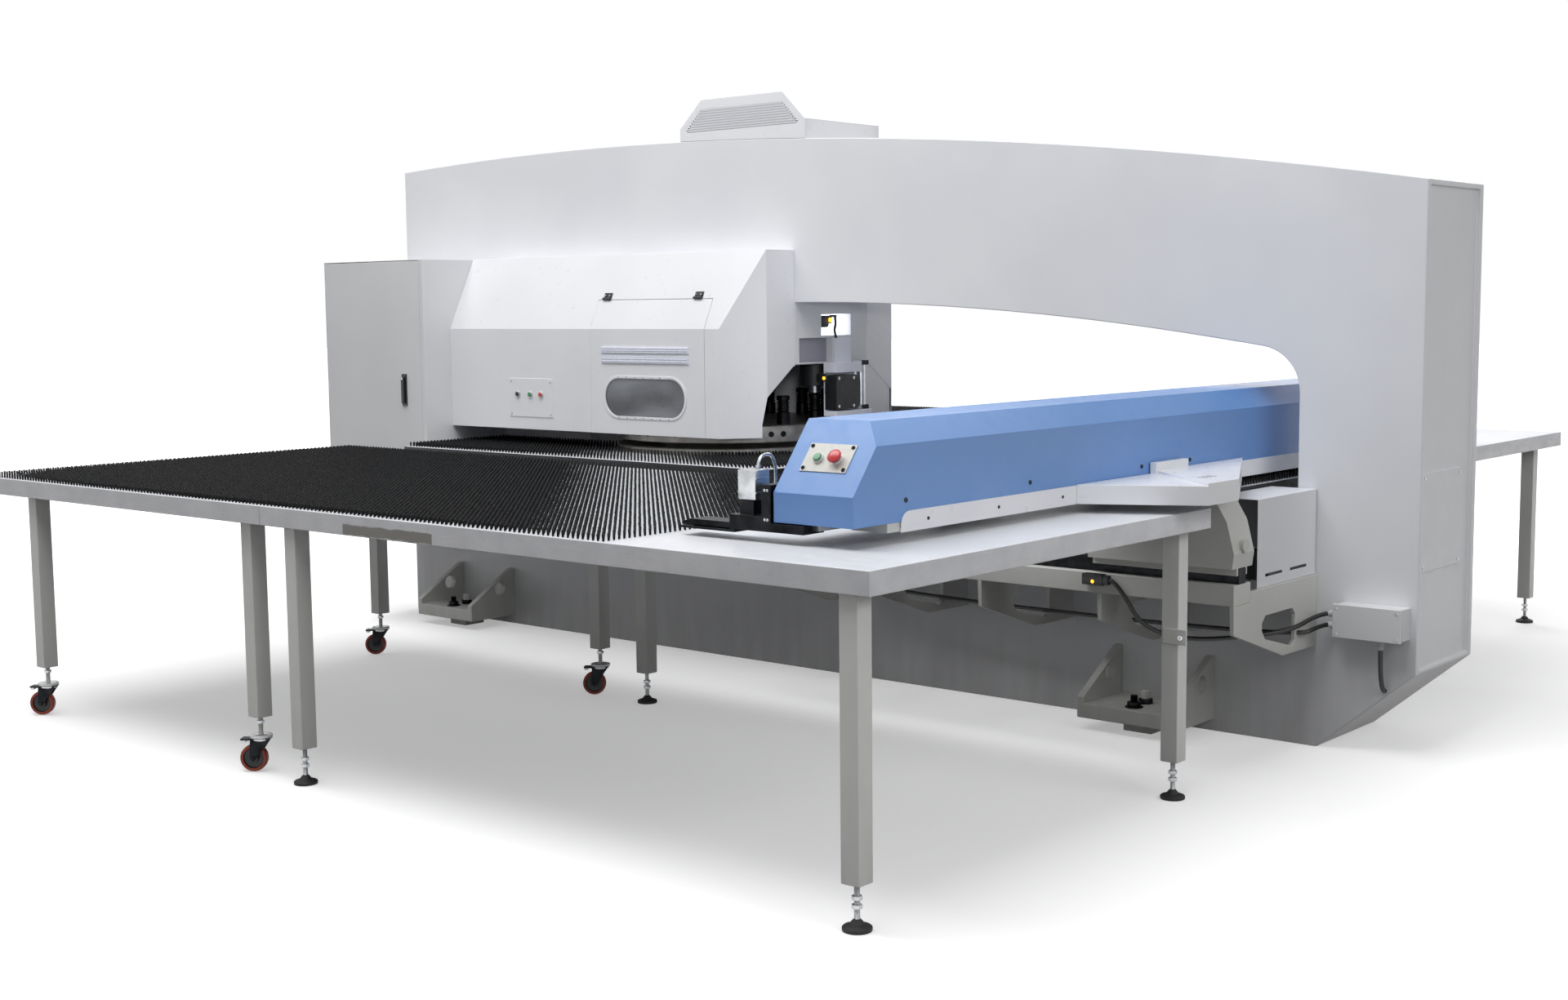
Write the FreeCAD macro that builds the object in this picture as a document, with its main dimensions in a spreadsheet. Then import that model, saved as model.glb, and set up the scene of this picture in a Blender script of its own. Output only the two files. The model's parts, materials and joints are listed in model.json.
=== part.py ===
import FreeCAD, Part
import math
import os
import Sketcher

# Turret punch press on a closed frame, with brush tables and a moving clamp beam.
# Millimetres, +Z up. Origin: floor level, middle of the overall length and of the
# frame thickness. X runs along the frame, Y across it, the operator side is -Y.

os.makedirs("parts", exist_ok=True)
doc = FreeCAD.newDocument("turret_punch_press")

SIZES = {
    # closed frame
    "frame_left": -2720, "frame_right": 2750, "frame_half": 255,
    "frame_cut_x": 2390, "frame_cut_z": 304,
    "crown_radius": 24000, "crown_x": -1320, "crown_z": 2352,
    "throat_left": -50, "throat_right": 2301, "throat_sill": 860,
    "throat_crown_radius": 14000, "throat_crown_z": 1612, "throat_corner_radius": 170,
    "bay_left": -1350, "bay_bottom": 800, "bay_top": 1340,
    "end_recess": 12, "end_plate": 30, "end_recess_low": 316, "end_recess_high": 1985,
    "jamb_recess_depth": 40,
    "jamb_recess_y0": -224, "jamb_recess_y1": 8, "jamb_recess_z0": 1347, "jamb_recess_z1": 1454,
    "jamb_window_y0": -70, "jamb_window_y1": 138, "jamb_window_z0": 1465, "jamb_window_z1": 1559,
    # service panel on the right end
    "panel_y0": -222, "panel_y1": 130, "panel_z0": 655, "panel_z1": 1000, "panel_thick": 6,
    # anchor feet
    "foot_x_left": -2145, "foot_x_right": 1775, "foot_width": 420, "foot_reach": 285,
    "foot_low": 45, "foot_plate": 55, "foot_rib": 30, "foot_rib_top": 285, "foot_rib_flat": 20,
    "foot_rib_front": 125, "foot_hole_radius": 33,
    "foot_hole_sides": 24, "foot_hole_y": 95, "foot_hole_z": 190,
    "anchor_hole_radius": 20, "anchor_hole_y": 225, "jack_y": 140, "jack_radius": 18,
    "jack_top": 150, "jack_pad_half": 60,
    # top hood
    "hood_left": -722, "hood_right": 16, "hood_back": 265, "hood_band": 2400,
    "hood_top_left": -590, "hood_top_right": -110, "hood_top": 2522, "hood_wall": 3,
    "hood_gap": 0.3, "grille_low_left": -683, "grille_low_right": -22,
    "grille_high_left": -590, "grille_high_right": -115, "grille_low": 2385, "grille_high": 2478,
    "grille_rows": 9, "grille_slot": 4,
    # electrical cabinet
    "cabinet_left": -2750, "cabinet_right": -1970, "cabinet_front": -760,
    "cabinet_low": 600, "cabinet_top": 1838, "cabinet_wall": 4, "cabinet_stile": 26,
    "cabinet_door_thick": 16, "cabinet_door_gap": 2,
    "lock_left": -2145, "lock_right": -2108, "lock_low": 1130, "lock_top": 1285,
    "lock_thick": 5, "lever_thick": 12, "lever_width": 18, "lever_low": 1142, "lever_pivot": 1262,
    # turret cover
    "cover_left": -1970, "cover_right": -50, "cover_low": 1030, "cover_front": -597,
    "cover_fold": 1502, "cover_top": 1840, "cover_shelf": -440, "cover_wall": 4,
    "cover_corner": -187, "cut_top": 1334, "cut_back": -265, "cut_mid": 1205,
    "cut_low_y": -458, "cut_low_z": 1085, "cut_depth": 60,
    "fold_ease": 0.22, "shelf_ease": 0.64, "corner_ease_x": 1.33, "corner_ease_y": 1.52,
    "door_left": -983, "door_right": -273, "door_high": 1633,
    "door_gap": 1.5, "door_thick": 3, "door_window_left": -888, "door_window_right": -393,
    "door_window_low": 1111, "door_window_high": 1281, "rim_width": 12, "rim_thick": 3,
    "pane_thick": 3,
    "strip_left": -906, "strip_right": -368, "strip_low": 1350, "strip_high": 1421,
    "strip_bar": 26, "strip_thick": 6, "hinge_x_left": -926, "hinge_x_right": -360,
    "hinge_half": 24, "hinge_leaf": 30, "hinge_thick": 4, "hinge_pin": 6, "hinge_clear": 0.2,
    "hinge_rise": 2,
    # control plate on the turret cover
    "plate_left": -1540, "plate_right": -1238, "plate_low": 1089, "plate_high": 1270,
    "plate_thick": 3,
    "button_z": 1195, "button_black_x": -1479, "button_green_x": -1392, "button_red_x": -1318,
    "button_radius": 11, "button_collar": 15, "button_collar_high": 6, "button_high": 9,
    "button_fit": 0.05, "button_sides": 16,
    # turrets, tools and ram
    "turret_x": -620, "turret_radius": 560, "tool_circle": 470, "pass_line": 974,
    "lower_disc": 885, "upper_disc_low": 998, "upper_disc_high": 1072, "stations": 16,
    "tool_radius": 30, "tool_low": 1002, "tool_top": 1200, "tool_fit": 0.05, "tool_sides": 16,
    "die_radius": 31, "shaft_radius": 60,
    "bearing_half": 120, "bearing_low": 1250, "bearing_high": 850,
    "head_radius": 68, "head_low": 1240, "ram_fit": 0.05, "ram_radius": 28, "ram_low": 1204, "ram_top": 1320,
    # ram valve group on the throat jamb
    "bracket_y0": -60, "bracket_y1": 200, "bracket_low": 1106, "bracket_top": 1345,
    "bracket_thick": 8, "bracket_base": 24, "bracket_reach": 70, "bracket_upper_y0": 12,
    "bracket_upper_y1": 128, "bracket_upper_top": 1452, "bracket_shelf": 1300,
    "valve_y0": -60, "valve_y1": 112, "valve_low": 1136, "valve_top": 1289, "valve_round": 38,
    "valve_reach": 66, "index_y": 160, "index_radius": 20, "index_low": 1150, "index_top": 1330,
    "index_cap": 26, "index_x": -12,
    # tables
    "table_top": 945, "table_rim": 66, "table_sheet": 4, "table_front": -2900,
    "table_back": -1130, "table_left": -2070, "table_split": -190, "table_right": 2420,
    "rear_table_right": 2190, "table_gap": 1, "leg_half": 30,
    "leg_front_y": -2850, "leg_back_y": -1205, "caster_leg_y": -2840, "foot_leg_low": 124,
    "caster_leg_low": 194,
    "leg_right_x0": -50, "leg_right_x1": 2335, "leg_left_x0": -1790, "leg_left_x1": -320,
    "rear_leg_x0": -1950, "rear_leg_x1": 60, "rear_leg_x2": 2068, "rear_leg_far": 2822,
    "tie_x0": 2312, "tie_x1": 2396, "tie_low": 511, "tie_high": 561, "tie_thick": 6,
    "stem_radius": 9, "pad_radius": 40, "pad_high": 20, "pad_sides": 16,
    # casters
    "caster_trail": 26, "caster_angle": 40, "wheel_radius": 48, "wheel_width": 30,
    "wheel_bore": 8.2, "wheel_sides": 24, "bore_sides": 16, "fork_gap": 2, "fork_sheet": 4,
    "fork_top": 118, "fork_half": 34, "swivel_radius": 40, "swivel_low": 119,
    "swivel_high": 130, "axle_radius": 7.95, "axle_head": 12, "brake_length": 34,
    "brake_width": 40, "brake_high": 6,
    # centre table
    "centre_left": -1966, "centre_front": -900, "centre_step_x": 330, "centre_step_y": -735,
    "centre_right": 2190, "centre_clear": 3, "disc_clear": 15, "arm_width": 40, "arm_high": 60,
    "arm_left": -1700, "arm_right": 200, "sill_block": 80, "sill_block_x": 1200,
    # brushes
    "brush_left": -2055, "brush_right": 1475, "brush_pitch": 20.8, "brush_tip": 966,
    "brush_ridge": 7, "brush_margin": 17, "brush_skip": 2,
    # Y axis
    "rail_beam_left": 330, "rail_beam_right": 2383, "rail_beam_low": 589, "rail_beam_top": 661,
    "rail_beam_front": -894, "rail_beam_back": -774, "rail_half": 25, "rail_y": -834,
    "rail_top": 715, "rail_fit": 0.05, "console_first": 355, "console_pitch": 505,
    "console_count": 5, "console_thick": 16, "console_low_y": -890, "console_low_z": 492,
    "console_knee_y": -523, "console_knee_z": 371, "console_foot_y": -268, "console_foot_z": 368,
    "console_top": 627, "console_hole_y0": -684, "console_hole_y1": -430,
    "console_hole_low": 390, "console_hole_mid": 455, "console_hole_top": 530,
    "console_hole_cut": 24,
    "carriage_left": 1830, "carriage_right": 2380, "carriage_front": -905,
    "carriage_back": -760, "carriage_flange": 746, "carriage_lip": 12, "carriage_lip_low": 690,
    "carriage_bulge_x": 2387, "carriage_bulge_z": 765, "carriage_waist_x": 2359,
    "carriage_waist_z": 872, "carriage_shoulder_x": 2300, "carriage_shoulder_z": 968,
    "carriage_seat_x0": 2015, "carriage_seat_x1": 2156, "carriage_seat_z": 978,
    "carriage_neck_x": 1950, "carriage_neck_z": 900, "carriage_heel_x": 1860,
    "boss_x": 2395, "boss_z": 789, "boss_radius": 22, "boss_reach": 35,
    "screw_y": -640, "screw_z": 700, "screw_radius": 16, "screw_left": 340, "screw_right": 2212,
    "screw_fit": 0.05, "nut_arm_x0": 2000, "nut_arm_x1": 2080, "nut_arm_half": 32,
    "nut_arm_low": 665, "block_half": 40, "block_thick": 34, "block_top": 745,
    "motor_left": 2214, "motor_right": 2360, "motor_half": 55, "motor_flange": 18,
    "motor_body_half": 48,
    "guard_left": 2200, "guard_right": 2375, "guard_front": -710, "guard_back": -258,
    "guard_low": 628, "guard_top": 932, "guard_wall": 3, "guard_slot_y0": -650,
    "guard_slot_y1": -520, "guard_slot_z": 662, "guard_slot_high": 10, "guard_slot_pitch": 190,
    "guard_port": 24,
    # X beam
    "beam_left": 2030, "beam_right": 2155, "beam_low": 978, "beam_top": 1210, "beam_front": -2480,
    "guide_thick": 12, "guide_high": 22, "guide_low_z": 1010, "guide_top_z": 1090,
    "shell_left": 1878, "shell_right": 2158, "shell_low": 1004, "shell_top": 1284,
    "shell_front": -2634, "shell_chamfer_x": 2096, "shell_chamfer_z": 1219, "shell_band": 1088,
    "shell_slant_y": -2479, "shell_rear": 1790, "beam_rear": 1680, "shell_wall": 3,
    "skirt_left": 2158.5, "skirt_right": 2161.5, "skirt_low": 975, "skirt_top": 1033,
    "skirt_front": -2425, "skirt_rear": 1585, "skirt_round": 40, "skirt_tab": 10,
    "wedge_x0": 2162, "wedge_y0": -1520, "wedge_x1": 2520, "wedge_y1": -1340,
    "wedge_x2": 2525, "wedge_y2": -1150, "wedge_y3": -410, "wedge_low": 975, "wedge_top": 1036,
    "ridge_y0": -1030, "ridge_x1": 2500, "ridge_y1": -1330, "ridge_top": 1045,
    "upstand_y0": -1065, "upstand_y1": -849, "upstand_top": 1073, "upstand_thick": 24,
    "vent_x": 2395, "vent_y": -1150, "vent_long": 34, "vent_wide": 7, "vent_pitch": 30,
    "vent_deep": 6,
    # X carriage and clamps
    "slide_left": 1990, "slide_right": 2017.95, "slide_low": 985, "slide_top": 1112,
    "slide_y0": -2604, "slide_y1": -640,
    "clamp_y0": -2595, "clamp_pitch": 952, "clamp_count": 3, "clamp_half": 45,
    "clamp_front": 1718, "clamp_low": 976, "clamp_step": 1018, "clamp_tall_x": 1838,
    "clamp_tall_top": 1108, "clamp_back": 1872, "clamp_foot_top": 1001,
    "clamp_neck_x0": 1746, "clamp_neck_x1": 1798, "clamp_neck_top": 1060,
    "lower_jaw_low": 967, "jaw_tip": 1527, "jaw_low": 977, "jaw_top": 994,
    "jaw_half": 38, "jaw_pin_x": 1706, "jaw_pin_radius": 8, "jaw_ear": 20,
    "jaw_taper_x": 1560, "jaw_taper_z": 984, "cylinder_x0": 1739, "cylinder_x1": 1805,
    "cylinder_top": 1144, "cylinder_half": 31, "hose_radius": 5, "hose_x": 1772,
    "hose_top": 1182, "hose_reach": 95, "hose_low": 1040, "hose_bend": 26, "hose_start": 20,
    "tube_sides": 6,
    # end plate and buttons on the beam
    "end_plate_x0": 1934, "end_plate_x1": 2096, "end_plate_z0": 1146, "end_plate_long": 93,
    "end_plate_thick": 3, "start_x": 1984, "stop_x": 2050, "end_button_up": 42,
    "start_radius": 13, "start_collar": 16, "end_collar_high": 7, "start_high": 9,
    "stop_radius": 21, "stop_high": 12, "stop_stem": 9, "stop_stem_high": 14,
    # junction box, cables and sensor
    "box_left": 2485, "box_right": 2725, "box_front": -345, "box_low": 425, "box_top": 538,
    "box_lid": 14, "box_lid_lip": 3, "gland_radius": 13, "gland_long": 22,
    "gland_y": -300, "gland_z0": 458, "gland_z1": 498, "gland_down_x": 2640, "cable_radius": 8,
    "sensor_x0": 1817, "sensor_x1": 1922, "sensor_low": 619, "sensor_top": 661,
    "sensor_deep": 34, "sensor_y": -912, "sensor_plug_z": 640, "cable_bend": 24,
    "droop_x0": 2420, "droop_x1": 2375, "droop_y1": -500, "droop_x2": 2080, "droop_y2": -905,
    "droop_z": 440, "droop_x3": 1950, "run_x0": 2430, "run_x1": 2400, "run_y": -470,
    "run_z": 425, "run_end": 420, "supply_z": 236,
}

sheet = doc.addObject("Spreadsheet::Sheet", "Dims")
for row, (alias, size) in enumerate(SIZES.items(), 1):
    sheet.set(f"A{row}", alias)
    sheet.set(f"B{row}", str(size))
    sheet.setAlias(f"B{row}", alias)
doc.recompute()


class Dim:
    """A dimension: its number and the sheet expression that drives it."""

    def __init__(self, value, text):
        self.value = value
        self.text = text

    def __add__(self, other):
        other = dim(other)
        return Dim(self.value + other.value, f"({self.text} + {other.text})")

    def __sub__(self, other):
        other = dim(other)
        return Dim(self.value - other.value, f"({self.text} - {other.text})")

    def __mul__(self, other):
        other = dim(other)
        return Dim(self.value * other.value, f"({self.text} * {other.text})")

    def __truediv__(self, other):
        other = dim(other)
        return Dim(self.value / other.value, f"({self.text} / {other.text})")

    def __neg__(self):
        return Dim(-self.value, f"(-1 * {self.text})")

    __radd__ = __add__
    __rmul__ = __mul__


def dim(number):
    """A Dim as it is, or a plain number as a Dim."""
    if isinstance(number, Dim):
        return number
    return Dim(number, f"({number})")


class Sheet:
    """Every cell of the sheet as a Dim attribute."""


S = Sheet()
for alias, size in SIZES.items():
    setattr(S, alias, Dim(size, "Dims." + alias))

ZERO = dim(0)
HEX = dim(6)
NEAR = 1  # mm within which a place counts as on a face
FACING = 0.9  # cosine above which a face looks along an axis
TURN = {
    "X": FreeCAD.Rotation(FreeCAD.Vector(0, 1, 0), 90),
    "Y": FreeCAD.Rotation(FreeCAD.Vector(1, 0, 0), -90),
    "Z": FreeCAD.Rotation(),
}
PLANES = {"XY": ("XY_Plane", 1), "XZ": ("XZ_Plane", -1), "YZ": ("YZ_Plane", 1)}
NODES = []


def node(name, item):
    """Name a finished piece and list it for export."""
    item.Label = name
    NODES.append((name, item))
    return item


def bind(item, **cells):
    """Drive properties of an object by expressions."""
    for prop, value in cells.items():
        item.setExpression(prop, dim(value).text)


def place(item, x, y, z):
    """Drive the position of an object."""
    for axis, value in zip("xyz", (x, y, z)):
        item.setExpression("Placement.Base." + axis, dim(value).text)


def box(x0, x1, y0, y1, z0, z1):
    """Block between three pairs of coordinates."""
    item = doc.addObject("Part::Box", "Block")
    bind(item, Length=dim(x1) - x0, Width=dim(y1) - y0, Height=dim(z1) - z0)
    place(item, x0, y0, z0)
    return item


def cyl(axis, x, y, z, radius, length):
    """Cylinder from a start point along an axis."""
    item = doc.addObject("Part::Cylinder", "Round")
    item.Placement = FreeCAD.Placement(FreeCAD.Vector(), TURN[axis])
    bind(item, Radius=radius, Height=length)
    place(item, x, y, z)
    return item


def prism(axis, sides, x, y, z, radius, length):
    """Regular prism from a start point along an axis; the radius is to its corners."""
    item = doc.addObject("Part::Prism", "Prism")
    item.Placement = FreeCAD.Placement(FreeCAD.Vector(), TURN[axis])
    bind(item, Polygon=sides, Circumradius=radius, Height=length)
    place(item, x, y, z)
    return item


def weld(items):
    """Several shapes as one solid piece."""
    item = doc.addObject("Part::MultiFuse", "Weld")
    item.Shapes = items
    item.Refine = True
    return item


def group(items):
    """Several equal solids kept apart in one piece."""
    item = doc.addObject("Part::Compound", "Group")
    item.Links = items
    return item


def cut(base, tools):
    """A shape less one or more others."""
    item = doc.addObject("Part::Cut", "Cut")
    item.Base = base
    item.Tool = tools[0] if len(tools) == 1 else group(tools)
    item.Refine = True
    return item


def mirrored(source):
    """The same shape on the other side of the frame mid-plane."""
    item = doc.addObject("Part::Mirroring", "Mirror")
    item.Source = source
    item.Base = FreeCAD.Vector(0, 0, 0)
    item.Normal = FreeCAD.Vector(0, 1, 0)
    return item


class Arc:
    """Arc from the corner it follows to the next: radius, centre, way round."""

    def __init__(self, radius, cx, cy, ccw=True):
        self.radius = dim(radius)
        self.cx = cx
        self.cy = cy
        self.ccw = ccw


class Ring:
    """Full circle in a sketch."""

    def __init__(self, cx, cy, radius):
        self.cx = dim(cx)
        self.cy = dim(cy)
        self.radius = dim(radius)


def fix(sketch, kind, geo, pos, value):
    """Tie one point coordinate, or a radius, of a sketch to the sheet."""
    if kind == "Radius":
        index = sketch.addConstraint(Sketcher.Constraint(kind, geo, value.value))
    else:
        index = sketch.addConstraint(Sketcher.Constraint(kind, -1, 1, geo, pos, value.value))
    sketch.setExpression(f"Constraints[{index}]", value.text)


def number(value):
    return value.value if isinstance(value, Dim) else value


def draw_ring(sketch, ring):
    centre = FreeCAD.Vector(ring.cx.value, ring.cy.value, 0)
    geo = sketch.addGeometry(Part.Circle(centre, FreeCAD.Vector(0, 0, 1), ring.radius.value))
    fix(sketch, "DistanceX", geo, 3, ring.cx)
    fix(sketch, "DistanceY", geo, 3, ring.cy)
    fix(sketch, "Radius", geo, 0, ring.radius)


def draw_loop(sketch, loop):
    """Closed outline. Corners are (x, y); a Dim is tied, a plain number is left to an arc."""
    corners = [step for step in loop if not isinstance(step, Arc)]
    arcs = {}
    for index, step in enumerate(loop):
        if isinstance(step, Arc):
            arcs[len([s for s in loop[:index] if not isinstance(s, Arc)]) - 1] = step
    count = len(corners)
    ends = []
    for index, (x, y) in enumerate(corners):
        nx, ny = corners[(index + 1) % count]
        start = FreeCAD.Vector(number(x), number(y), 0)
        stop = FreeCAD.Vector(number(nx), number(ny), 0)
        if index in arcs:
            arc = arcs[index]
            centre = FreeCAD.Vector(number(arc.cx), number(arc.cy), 0)
            circle = Part.Circle(centre, FreeCAD.Vector(0, 0, 1), arc.radius.value)
            first, last = (start, stop) if arc.ccw else (stop, start)
            a0 = math.atan2(first.y - centre.y, first.x - centre.x)
            a1 = math.atan2(last.y - centre.y, last.x - centre.x)
            if a1 <= a0:
                a1 += 2 * math.pi
            geo = sketch.addGeometry(Part.ArcOfCircle(circle, a0, a1))
            ends.append((geo, 1, 2) if arc.ccw else (geo, 2, 1))
        else:
            geo = sketch.addGeometry(Part.LineSegment(start, stop))
            ends.append((geo, 1, 2))
    for index in range(count):
        geo, _, tail = ends[index]
        follower, head, _ = ends[(index + 1) % count]
        sketch.addConstraint(Sketcher.Constraint("Coincident", geo, tail, follower, head))
    for index, (x, y) in enumerate(corners):
        geo, head, _ = ends[index]
        if isinstance(x, Dim):
            fix(sketch, "DistanceX", geo, head, x)
        if isinstance(y, Dim):
            fix(sketch, "DistanceY", geo, head, y)
        if index in arcs:
            fix(sketch, "Radius", geo, 0, arcs[index].radius)
            if isinstance(arcs[index].cx, Dim):
                fix(sketch, "DistanceX", geo, 3, arcs[index].cx)
            if isinstance(arcs[index].cy, Dim):
                fix(sketch, "DistanceY", geo, 3, arcs[index].cy)


def new_body():
    return doc.addObject("PartDesign::Body", "Piece")


def profile(body, plane, loops, middle):
    """Sketch on a plane of the body, moved along the plane normal."""
    role, sign = PLANES[plane]
    origin = [plane_ for plane_ in body.Origin.OriginFeatures if plane_.Role == role][0]
    sketch = body.newObject("Sketcher::SketchObject", "Outline")
    sketch.AttachmentSupport = [(origin, "")]
    sketch.MapMode = "FlatFace"
    sketch.setExpression("AttachmentOffset.Base.z", (middle * sign).text)
    for loop in loops:
        if isinstance(loop, Ring):
            draw_ring(sketch, loop)
        else:
            draw_loop(sketch, loop)
    return sketch


def extrude(kind, body, plane, loops, low, high):
    """Pad or pocket between two coordinates along the plane normal."""
    low, high = dim(low), dim(high)
    sketch = profile(body, plane, loops, (low + high) / 2)
    feature = body.newObject(kind, kind.split("::")[1])
    feature.Profile = sketch
    feature.SideType = "Symmetric"
    bind(feature, Length=high - low)
    feature.Refine = True
    body.Tip = feature
    return feature


def pad(body, plane, loops, low, high):
    return extrude("PartDesign::Pad", body, plane, loops, low, high)


def pocket(body, plane, loops, low, high):
    """Pocket, checked to take material away."""
    doc.recompute()
    before = body.Shape.Volume
    feature = extrude("PartDesign::Pocket", body, plane, loops, low, high)
    doc.recompute()
    if body.Shape.Volume >= before:
        raise RuntimeError("pocket removes nothing in " + body.Label)
    return feature


def rect(x0, x1, y0, y1):
    """Corners of a rectangle."""
    x0, x1, y0, y1 = dim(x0), dim(x1), dim(y0), dim(y1)
    return [(x0, y0), (x1, y0), (x1, y1), (x0, y1)]


def stadium(x0, x1, y0, y1):
    """Long slot with half-round ends, lying along its first axis."""
    x0, x1, y0, y1 = dim(x0), dim(x1), dim(y0), dim(y1)
    radius = (y1 - y0) / 2
    middle = (y0 + y1) / 2
    left = x0 + radius
    right = x1 - radius
    return [(left, y0.value), (right, y0.value), Arc(radius, right, middle),
            (right, y1.value), (left, y1.value), Arc(radius, left, middle)]


def solid(plane, loops, low, high):
    """One padded body."""
    body = new_body()
    pad(body, plane, loops, low, high)
    return body


def round_edges(body, radius, picked):
    """Fillet the edges whose midpoint and direction pass a test."""
    doc.recompute()
    base = body.Tip
    names = []
    for index, edge in enumerate(base.Shape.Edges, 1):
        middle = edge.valueAt((edge.FirstParameter + edge.LastParameter) / 2)
        along = edge.Vertexes[-1].Point - edge.Vertexes[0].Point
        if picked(middle, along):
            names.append(f"Edge{index}")
    fillet = body.newObject("PartDesign::Fillet", "Fillet")
    fillet.Base = (base, names)
    bind(fillet, Radius=radius)
    body.Tip = fillet
    return fillet


def shell(body, wall, picked):
    """Hollow a body to sheet, open at the faces whose centre and normal pass a test."""
    doc.recompute()
    base = body.Tip
    names = []
    for index, face in enumerate(base.Shape.Faces, 1):
        if picked(face.CenterOfMass, face.normalAt(0, 0)):
            names.append(f"Face{index}")
    sheet_metal = body.newObject("PartDesign::Thickness", "Sheet")
    sheet_metal.Base = (base, names)
    sheet_metal.Reversed = True
    sheet_metal.Join = 1
    bind(sheet_metal, Value=wall)
    body.Tip = sheet_metal
    return sheet_metal


def tube_route(points, radius, bend):
    """Tube of few sides along straight runs joined by arcs of one bend radius."""
    knots = [FreeCAD.Vector(*(dim(value).value for value in point)) for point in points]
    edges = []
    here = knots[0]
    for before, corner, after in zip(knots, knots[1:], knots[2:]):
        inward = (before - corner).normalize()
        onward = (after - corner).normalize()
        half = inward.getAngle(onward) / 2
        setback = bend.value / math.tan(half)
        first = corner + inward * setback
        last = corner + onward * setback
        axis = (inward + onward).normalize()
        centre = corner + axis * (bend.value / math.sin(half))
        middle = centre - axis * bend.value
        edges.append(Part.makeLine(here, first))
        edges.append(Part.Arc(first, middle, last).toShape())
        here = last
    edges.append(Part.makeLine(here, knots[-1]))
    path = Part.Wire(edges)
    facing = FreeCAD.Rotation(FreeCAD.Vector(0, 0, 1), knots[1] - knots[0])
    count = int(S.tube_sides.value)
    corners = []
    for index in range(count + 1):
        angle = 2 * math.pi * index / count
        spoke = FreeCAD.Vector(radius.value * math.cos(angle), radius.value * math.sin(angle), 0)
        corners.append(knots[0] + facing.multVec(spoke))
    ring = Part.makePolygon(corners)
    item = doc.addObject("Part::Feature", "Tube")
    item.Shape = path.makePipeShell([ring], True, True)
    return item


# ---------------------------------------------------------------- closed frame
frame = new_body()
crown_centre = S.crown_z - S.crown_radius
crown_right = crown_centre.value + math.sqrt(
    S.crown_radius.value ** 2 - (S.frame_right.value - S.crown_x.value) ** 2)
crown_left = crown_centre.value + math.sqrt(
    S.crown_radius.value ** 2 - (S.frame_left.value - S.crown_x.value) ** 2)
pad(frame, "XZ", [[
    (S.frame_left, ZERO), (S.frame_cut_x, ZERO), (S.frame_right, S.frame_cut_z),
    (S.frame_right, crown_right), Arc(S.crown_radius, S.crown_x, crown_centre),
    (S.frame_left, crown_left)]], -S.frame_half, S.frame_half)
throat_centre = S.throat_crown_z - S.throat_crown_radius
throat_meet = throat_centre.value + math.sqrt(
    S.throat_crown_radius.value ** 2 - (S.throat_right.value - S.throat_left.value) ** 2)
pocket(frame, "XZ", [[
    (S.bay_left, S.bay_bottom), (S.throat_left, S.bay_bottom), (S.throat_left, S.throat_sill),
    (S.throat_right, S.throat_sill), (S.throat_right, throat_meet),
    Arc(S.throat_crown_radius, S.throat_left, throat_centre),
    (S.throat_left, S.throat_crown_z.value), (S.throat_left, S.bay_top),
    (S.bay_left, S.bay_top)]], -S.frame_half, S.frame_half)
round_edges(frame, S.throat_corner_radius,
            lambda mid, along: abs(mid.x - S.throat_right.value) < NEAR and abs(mid.y) < NEAR
            and abs(mid.z - throat_meet) < NEAR)
end_half = S.frame_half - S.end_plate
pocket(frame, "YZ", [rect(-end_half, end_half, S.end_recess_low, S.end_recess_high)],
       S.frame_right - S.end_recess, S.frame_right)
pocket(frame, "YZ", [rect(S.jamb_recess_y0, S.jamb_recess_y1, S.jamb_recess_z0, S.jamb_recess_z1)],
       S.throat_left - S.jamb_recess_depth, S.throat_left)
pocket(frame, "YZ", [rect(S.jamb_window_y0, S.jamb_window_y1, S.jamb_window_z0, S.jamb_window_z1)],
       S.throat_left - S.jamb_recess_depth, S.throat_left)
node("o_frame", frame)

panel_x = S.frame_right - S.end_recess
node("service_panel", box(panel_x, panel_x + S.panel_thick, S.panel_y0, S.panel_y1,
                          S.panel_z0, S.panel_z1))

# ---------------------------------------------------------------- anchor feet
anchors = []
for foot_x in (S.foot_x_left, S.foot_x_right):
    face = -S.frame_half
    tip = face - S.foot_reach
    plate_top = S.foot_low + S.foot_plate
    x0 = foot_x - S.foot_width / 2
    x1 = foot_x + S.foot_width / 2
    base = solid("XY", [rect(x0, x1, tip, face),
                        Ring(foot_x, face - S.anchor_hole_y, S.anchor_hole_radius)],
                 S.foot_low, plate_top)
    parts = [base]
    for rib_x in (x0, x1 - S.foot_rib):
        root = plate_top - S.foot_rib
        rib = solid("YZ", [[
            (face, root), (face, S.foot_rib_top), (face - S.foot_rib_flat, S.foot_rib_top),
            (tip, S.foot_rib_front), (tip, root)]], rib_x, rib_x + S.foot_rib)
        parts.append(cut(rib, [prism("X", S.foot_hole_sides, rib_x, face - S.foot_hole_y,
                                     S.foot_hole_z, S.foot_hole_radius, S.foot_rib)]))
    jack_y = face - S.jack_y
    pad_half = S.jack_pad_half
    parts.append(box(foot_x - pad_half, foot_x + pad_half, jack_y - pad_half, jack_y + pad_half,
                     ZERO, S.foot_low))
    parts.append(prism("Z", HEX, foot_x, jack_y, plate_top, S.jack_radius, S.jack_top - plate_top))
    anchor = weld(parts)
    anchors += [anchor, mirrored(anchor)]
node("anchor_feet", group(anchors))

# ---------------------------------------------------------------- top hood
hood_radius = S.crown_radius + S.hood_gap


def crown_at(x, radius):
    """Height of the crown arc at a given place along the frame."""
    return crown_centre.value + math.sqrt(radius.value ** 2 - (x.value - S.crown_x.value) ** 2)


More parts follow.
